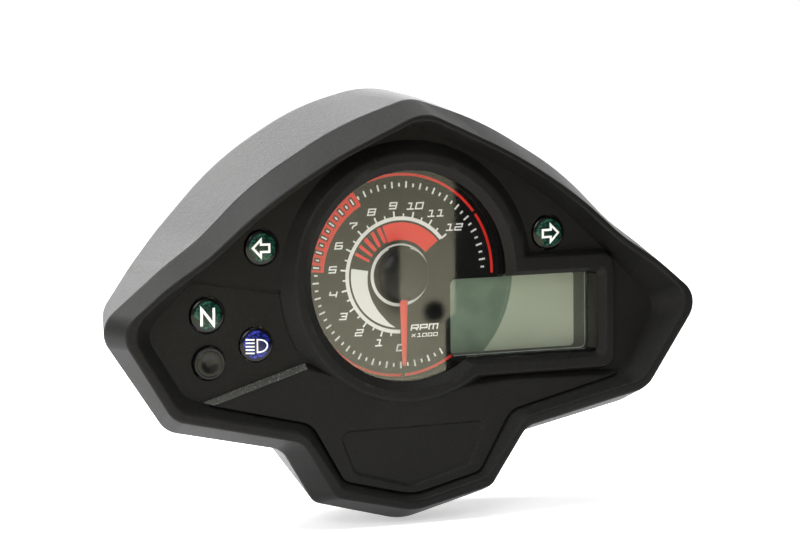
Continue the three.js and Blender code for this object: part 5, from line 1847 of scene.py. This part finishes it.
@dataclass
class BracketMounts:
    """Rubber dampers, threaded inserts and the harness grommet."""

    damper_front: float = 43.0
    damper_thick: float = 4.0
    plane: float = 48.5
    insert_front: float = 31.6

    def insert(self, at: Pair) -> bpy.types.Mesh:
        """A flanged insert with a chamfered blind bore."""
        front, plane = self.insert_front, self.plane
        return lathe([(0, front), (4.4, front), (4.4, plane - 1.2), (8, plane - 1.2), (8, plane),
                      (3.1, plane), (2.5, plane - 0.6), (2.5, front + 2.6), (0, front + 2.6)],
                     [0, 0.4, 0, 0.25, 0.25, 0.1, 0.1, 0, 0], at, 64)

    def damper(self, at: Pair) -> bpy.types.Mesh:
        """A rubber ring with a waist between its two lips."""
        a, b = self.damper_front, self.damper_front + self.damper_thick
        profile = [(4.7, a), (8.7, a), (9.0, a + 0.35), (9.0, a + 1.1), (8.3, a + 1.5),
                   (8.3, b - 1.5), (9.0, b - 1.1), (9.0, b - 0.35), (8.7, b), (4.7, b)]
        return revolve(profile, at, 64, looped=True)

    def grommet(self) -> bpy.types.Mesh:
        """The harness grommet: a neck between two lips, open through the middle."""
        profile = [(5.0, 32.8), (11.1, 32.8), (11.4, 33.1), (11.4, 34.5), (11.1, 34.8), (9.0, 34.8),
                   (9.0, 38.0), (11.1, 38.0), (11.4, 38.3), (11.2, 38.8), (9.6, 39.8), (9.0, 40.0),
                   (5.6, 40.0), (5.0, 39.5)]
        return revolve(profile, HARNESS, 64, looped=True)

    def build(self, shop: Workshop) -> None:
        """Makes all of them."""
        for name, at in MOUNTS.items():
            shop.piece(f"insert_{name}", self.insert(at), "zinc_steel",
                       stands_for=[f"mount_insert_{name}"], crease=30)
            shop.piece(f"damper_{name}", self.damper(at), "black_rubber",
                       stands_for=[f"mount_damper_{name}"], crease=40)
        shop.piece("grommet_ring", self.grommet(), "black_rubber", stands_for=["harness_grommet"],
                   crease=40)


@dataclass
class Electronics:
    """What lies inside the case: most keeps its CAD shape, and the plug socket gets its pins."""

    pins_in_row: int = 8
    pitch: float = 2.4
    row_gap: float = 3.0
    pin: tuple[Pair, ...] = ((0.32, 0.0), (0.32, 6.2), (0.14, 6.9))
    kept: tuple[tuple[str, tuple[str, ...]], ...] = (
        ("black_rubber", ("case_gasket", "lcd_contact_upper", "lcd_contact_lower", "button_seal")),
        ("clear_acrylic", ("dial_light_guide",)),
        ("white_plastic", ("light_box", "lcd_diffuser", "lcd_holder", "dial_led_left",
                           "dial_led_right", "display_led", "left_turn_led", "right_turn_led",
                           "neutral_led", "high_beam_led")),
        ("circuit_board", ("main_board",)),
        ("acetal", ("board_connector", "motor_output_wheel", "motor_idler_gear")),
        ("gloss_black", ("switch_plunger", "switch_case", "motor_case", "motor_cover")),
        ("zinc_steel", ("motor_rotor", "motor_stator")),
        ("copper_wire", ("motor_coil_left", "motor_coil_right")),
    )

    def pins(self, shop: Workshop) -> None:
        """Two rows of square pins in the plug socket, with tapered ends."""
        shape = placed("pin_shape", loft([ring_at(sharp_box(half, half), y)
                                          for half, y in self.pin]))
        start = (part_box("board_connector")[0].y - shop.dial_plane) / MM + 2.2
        middle = (self.pins_in_row - 1) / 2
        half_gap = self.row_gap / 2
        points = [(HARNESS[0] + (i - middle) * self.pitch, start, HARNESS[1] + side)
                  for i in range(self.pins_in_row) for side in (-half_gap, half_gap)]
        mesh = copies(shop.material("zinc_steel"), shape, 3).mesh(points, {"Most Turn": 0.0})
        bpy.data.objects.remove(shape)
        shop.piece("socket_pins", mesh, "zinc_steel", crease=30)

    def build(self, shop: Workshop) -> None:
        """Dresses the inner nodes and adds the pins."""
        for finish, nodes in self.kept:
            for node in nodes:
                shop.recoat(node, finish)
        self.pins(shop)


# ---------------------------------------------------------------- studio


@dataclass
class Studio:
    """Floor, backdrop, lights and camera."""

    focal: float = 157.5
    camera_at: Triple = (-0.4777, -1.1190, 0.1330)
    right: Triple = (0.9192, -0.3936, -0.01)
    down: Triple = (-0.0511, -0.094, -0.9943)
    forward: Triple = (0.3904, 0.9144, -0.1066)
    ambient: float = 0.34
    room: float = 0.4
    room_edge: Pair = (0.3, 0.5)
    room_front: Pair = (0.2, 0.6)
    clearance: float = 0.0004
    # Painted reflection on the floor's foreground, mirrored in the dial's pane: a warm veil, and a
    # dark edge and blots placed from the camera's mirror image.
    foreground: Pair = (-0.15, -0.25)
    mirrored_from: Triple = (-0.4777, 1.0549, 0.1330)
    shade_from: float = 0.4461
    shade_step: Pair = (0.132, 0.135)
    shade_shift: float = -0.0035
    shades: tuple[tuple[Pair, Pair, float], ...] = (((0.4388, 0.1315), (0.0036, 0.0034), 1.0),
                                                    ((0.4270, 0.1192), (0.0068, 0.0108), 0.4270))
    paper: tuple[Colour, Colour] = ((0.86, 0.86, 0.86), (0.9, 0.9, 0.9))
    warm_paper: Colour = (0.84, 0.8, 0.58)
    warm_glow: Colour = (0.9, 0.86, 0.62)
    shade: Colour = (0.02, 0.02, 0.018)
    lamps: tuple[tuple[str, Triple, Triple, Pair, float], ...] = (
        ("key", (-0.65, 0.15, 0.85), (-0.02, -0.03, 0.02), (0.8, 0.6), 18.0),
        ("front", (-0.5, -1.0, 0.6), (0.0, -0.04, 0.0), (0.7, 0.5), 6.5),
        ("top", (0.1, -0.05, 0.9), (0.0, -0.02, 0.0), (0.8, 0.5), 9.0),
        ("left", (-0.9, -0.15, 0.36), (0.02, -0.05, -0.02), (0.4, 0.4), 2.0),
        ("back", (0.05, 0.85, 0.42), (0.0, 0.0, 0.02), (1.0, 0.4), 2.7),
        ("rim_right", (0.66, 0.85, 0.27), (0.02, 0.0, 0.03), (0.5, 0.4), 1.3),
    )

    def camera(self, shop: Workshop) -> None:
        """Sets the camera where the photograph was taken from."""
        lens = bpy.data.cameras.new("camera")
        lens.lens, lens.sensor_width, lens.clip_end = self.focal, 36.0, 20.0
        made = placed("camera", lens)
        columns = [Vector(self.right).normalized(), -Vector(self.down).normalized(),
                   -Vector(self.forward).normalized()]
        turn = Matrix(columns).transposed().to_4x4()
        x, y, z = self.camera_at
        made.matrix_world = Matrix.Translation((x, y + shop.dial_plane, z)) @ turn
        bpy.context.scene.camera = made

    def lights(self) -> None:
        """Places the soft boxes."""
        for name, at, aim, (width, height), power in self.lamps:
            lamp = bpy.data.lights.new(name, "AREA")
            lamp.shape, lamp.size, lamp.size_y, lamp.energy = "RECTANGLE", width, height, power
            made = placed(name, lamp)
            made.location, made.rotation_mode = at, "QUATERNION"
            made.rotation_quaternion = (Vector(aim) - Vector(at)).to_track_quat("-Z", "Y")

    def world(self) -> None:
        """White to the camera and in mirrors, with a dim room in front, and soft grey as light."""
        world = bpy.data.worlds.new("backdrop")
        bpy.context.scene.world = world
        world.use_nodes = True
        w = Wiring(world.node_tree)
        sky = world.node_tree.nodes["Background"]
        sky.inputs["Color"].default_value = (1.0, 1.0, 1.0, 1.0)
        rays = w.node("LightPath")
        across, forwards, _ = w.split(w.node("TexCoord").outputs["Generated"])
        ahead = w.maths("MULTIPLY", forwards, -1.0)
        side = w.maths("DIVIDE", across, w.maths("MAXIMUM", ahead, 0.01))
        room = w.maths("MULTIPLY_ADD", w.band(side, *self.room_edge), -self.room, self.room)
        front = w.band(ahead, *self.room_front)
        mirrored = w.maths("ADD", w.maths("MULTIPLY", room, front), w.maths("SUBTRACT", 1.0, front))
        bounced = w.maths("MAXIMUM", rays.outputs["Is Glossy Ray"],
                          rays.outputs["Is Transmission Ray"])
        strength = w.maths("ADD", w.maths("MULTIPLY", bounced, mirrored),
                         w.maths("MULTIPLY", w.maths("SUBTRACT", 1.0, bounced), self.ambient))
        w.link(w.maths("MAXIMUM", rays.outputs["Is Camera Ray"], strength), sky.inputs["Strength"])

    def floor(self) -> None:
        """A white sweep under the keel that keeps the shadow. Its foreground, seen only in mirrors,
        carries a painted reflection, a warm veil and dark blots, that the dial's pane mirrors.
        """
        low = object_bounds()[0].z - self.clearance
        profile = [(-3.0, 0.0), (1.0, 0.0)]
        profile += [(1.0 + math.sin(a), 1.0 - math.cos(a))
                    for a in np.radians(np.linspace(6, 90, 15))]
        profile.append((2.0, 2.5))
        points = [(x, y, low + z) for y, z in profile for x in (-4.0, 4.0)]
        faces = [(2 * i, 2 * i + 1, 2 * i + 3, 2 * i + 2) for i in range(len(profile) - 1)]
        mesh = bpy.data.meshes.new("sweep")
        mesh.from_pydata(points, [], faces)
        mesh.shade_smooth()
        material = bpy.data.materials.new("sweep_paper")
        material.use_nodes = True
        w = Wiring(material.node_tree)
        shader = material.node_tree.nodes["Principled BSDF"]
        rays = w.node("LightPath").outputs
        seen = w.maths("MAXIMUM", rays["Is Camera Ray"],
                       w.maths("MAXIMUM", rays["Is Glossy Ray"], rays["Is Transmission Ray"]))
        where = w.node("TexCoord").outputs["Object"]
        x, y, _ = w.split(where)
        away = w.maths("SUBTRACT", self.mirrored_from[1], y)
        side = w.maths("DIVIDE", w.maths("SUBTRACT", x, self.mirrored_from[0]), away)
        fall = w.maths("DIVIDE", self.mirrored_from[2] - low, away)
        # Painted reflection: for mirror rays the foreground is warm and carries dark blots, so the
        # dial's pane shows a veil and dark shapes.
        front = w.maths("MULTIPLY", w.band(y, *self.foreground),
                        w.maths("SUBTRACT", 1.0, rays["Is Camera Ray"]))
        edge = w.maths("MULTIPLY_ADD", w.band(fall, *self.shade_step), self.shade_shift,
                       self.shade_from)
        reflection_mask = w.maths("GREATER_THAN", side, edge)
        for middle, size, limit in self.shades:
            squares = [w.maths("POWER", w.maths("DIVIDE", w.maths("SUBTRACT", at, centre), half),
                               2.0) for at, centre, half in zip((side, fall), middle, size)]
            reach = w.maths("SQRT", w.maths("ADD", *squares))
            blot = w.maths("MULTIPLY", w.band(reach, 1.5, 0.6), w.maths("LESS_THAN", side, limit))
            reflection_mask = w.maths("MAXIMUM", reflection_mask, blot)
        reflection_mask = w.maths("MULTIPLY", reflection_mask, front)
        paper = w.blend(w.noise(where, 40.0), *self.paper)
        w.link(w.blend(reflection_mask, w.blend(front, paper, self.warm_paper), self.shade),
               shader.inputs["Base Color"])
        shader.inputs["Roughness"].default_value = 0.95
        shader.inputs["Specular IOR Level"].default_value = 0.1
        glow = w.node("Emission")
        w.link(w.blend(front, (1.0, 1.0, 1.0), self.warm_glow), glow.inputs["Color"])
        strength = w.maths("MULTIPLY_ADD", front, 0.15, 0.45)
        w.link(w.maths("MULTIPLY", w.maths("MULTIPLY", seen, strength),
                       w.maths("SUBTRACT", 1.0, reflection_mask)), glow.inputs["Strength"])
        both = w.node("AddShader")
        w.link(shader.outputs[0], both.inputs[0])
        w.link(glow.outputs[0], both.inputs[1])
        w.link(both.outputs[0], material.node_tree.nodes["Material Output"].inputs["Surface"])
        mesh.materials.append(material)
        placed("sweep", mesh)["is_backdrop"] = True

    def build(self, shop: Workshop) -> None:
        """Sets up the studio."""
        self.camera(shop)
        self.lights()
        self.world()
        self.floor()


@dataclass
class Cluster:
    """The whole instrument cluster, as its sub-assemblies in order."""

    form: CaseForm = field(default_factory=CaseForm)

    def parts(self) -> list[object]:
        """The sub-assemblies."""
        lamps = [TellTale(sign, at) for sign, at in zip(Sign, LAMPS)]
        return [FrontBezel(self.form), RearHood(self.form), Window(), DialFace(), Pointer(),
                DisplayCell(), *lamps, PushButton(), Fasteners(), BracketMounts(), Electronics()]

    def build(self, shop: Workshop) -> None:
        """Builds them all."""
        for part in self.parts():
            LOG.info("building %s", type(part).__name__)
            part.build(shop)


def main() -> None:
    """Builds the looks over the frame, and the studio."""
    logging.basicConfig(level=logging.INFO, format="%(name)s: %(message)s")
    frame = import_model()
    bpy.context.scene.view_settings.view_transform = "Standard"
    shop = Workshop(frame)
    Cluster().build(shop)
    Studio().build(shop)


if __name__ == "__main__":
    main()
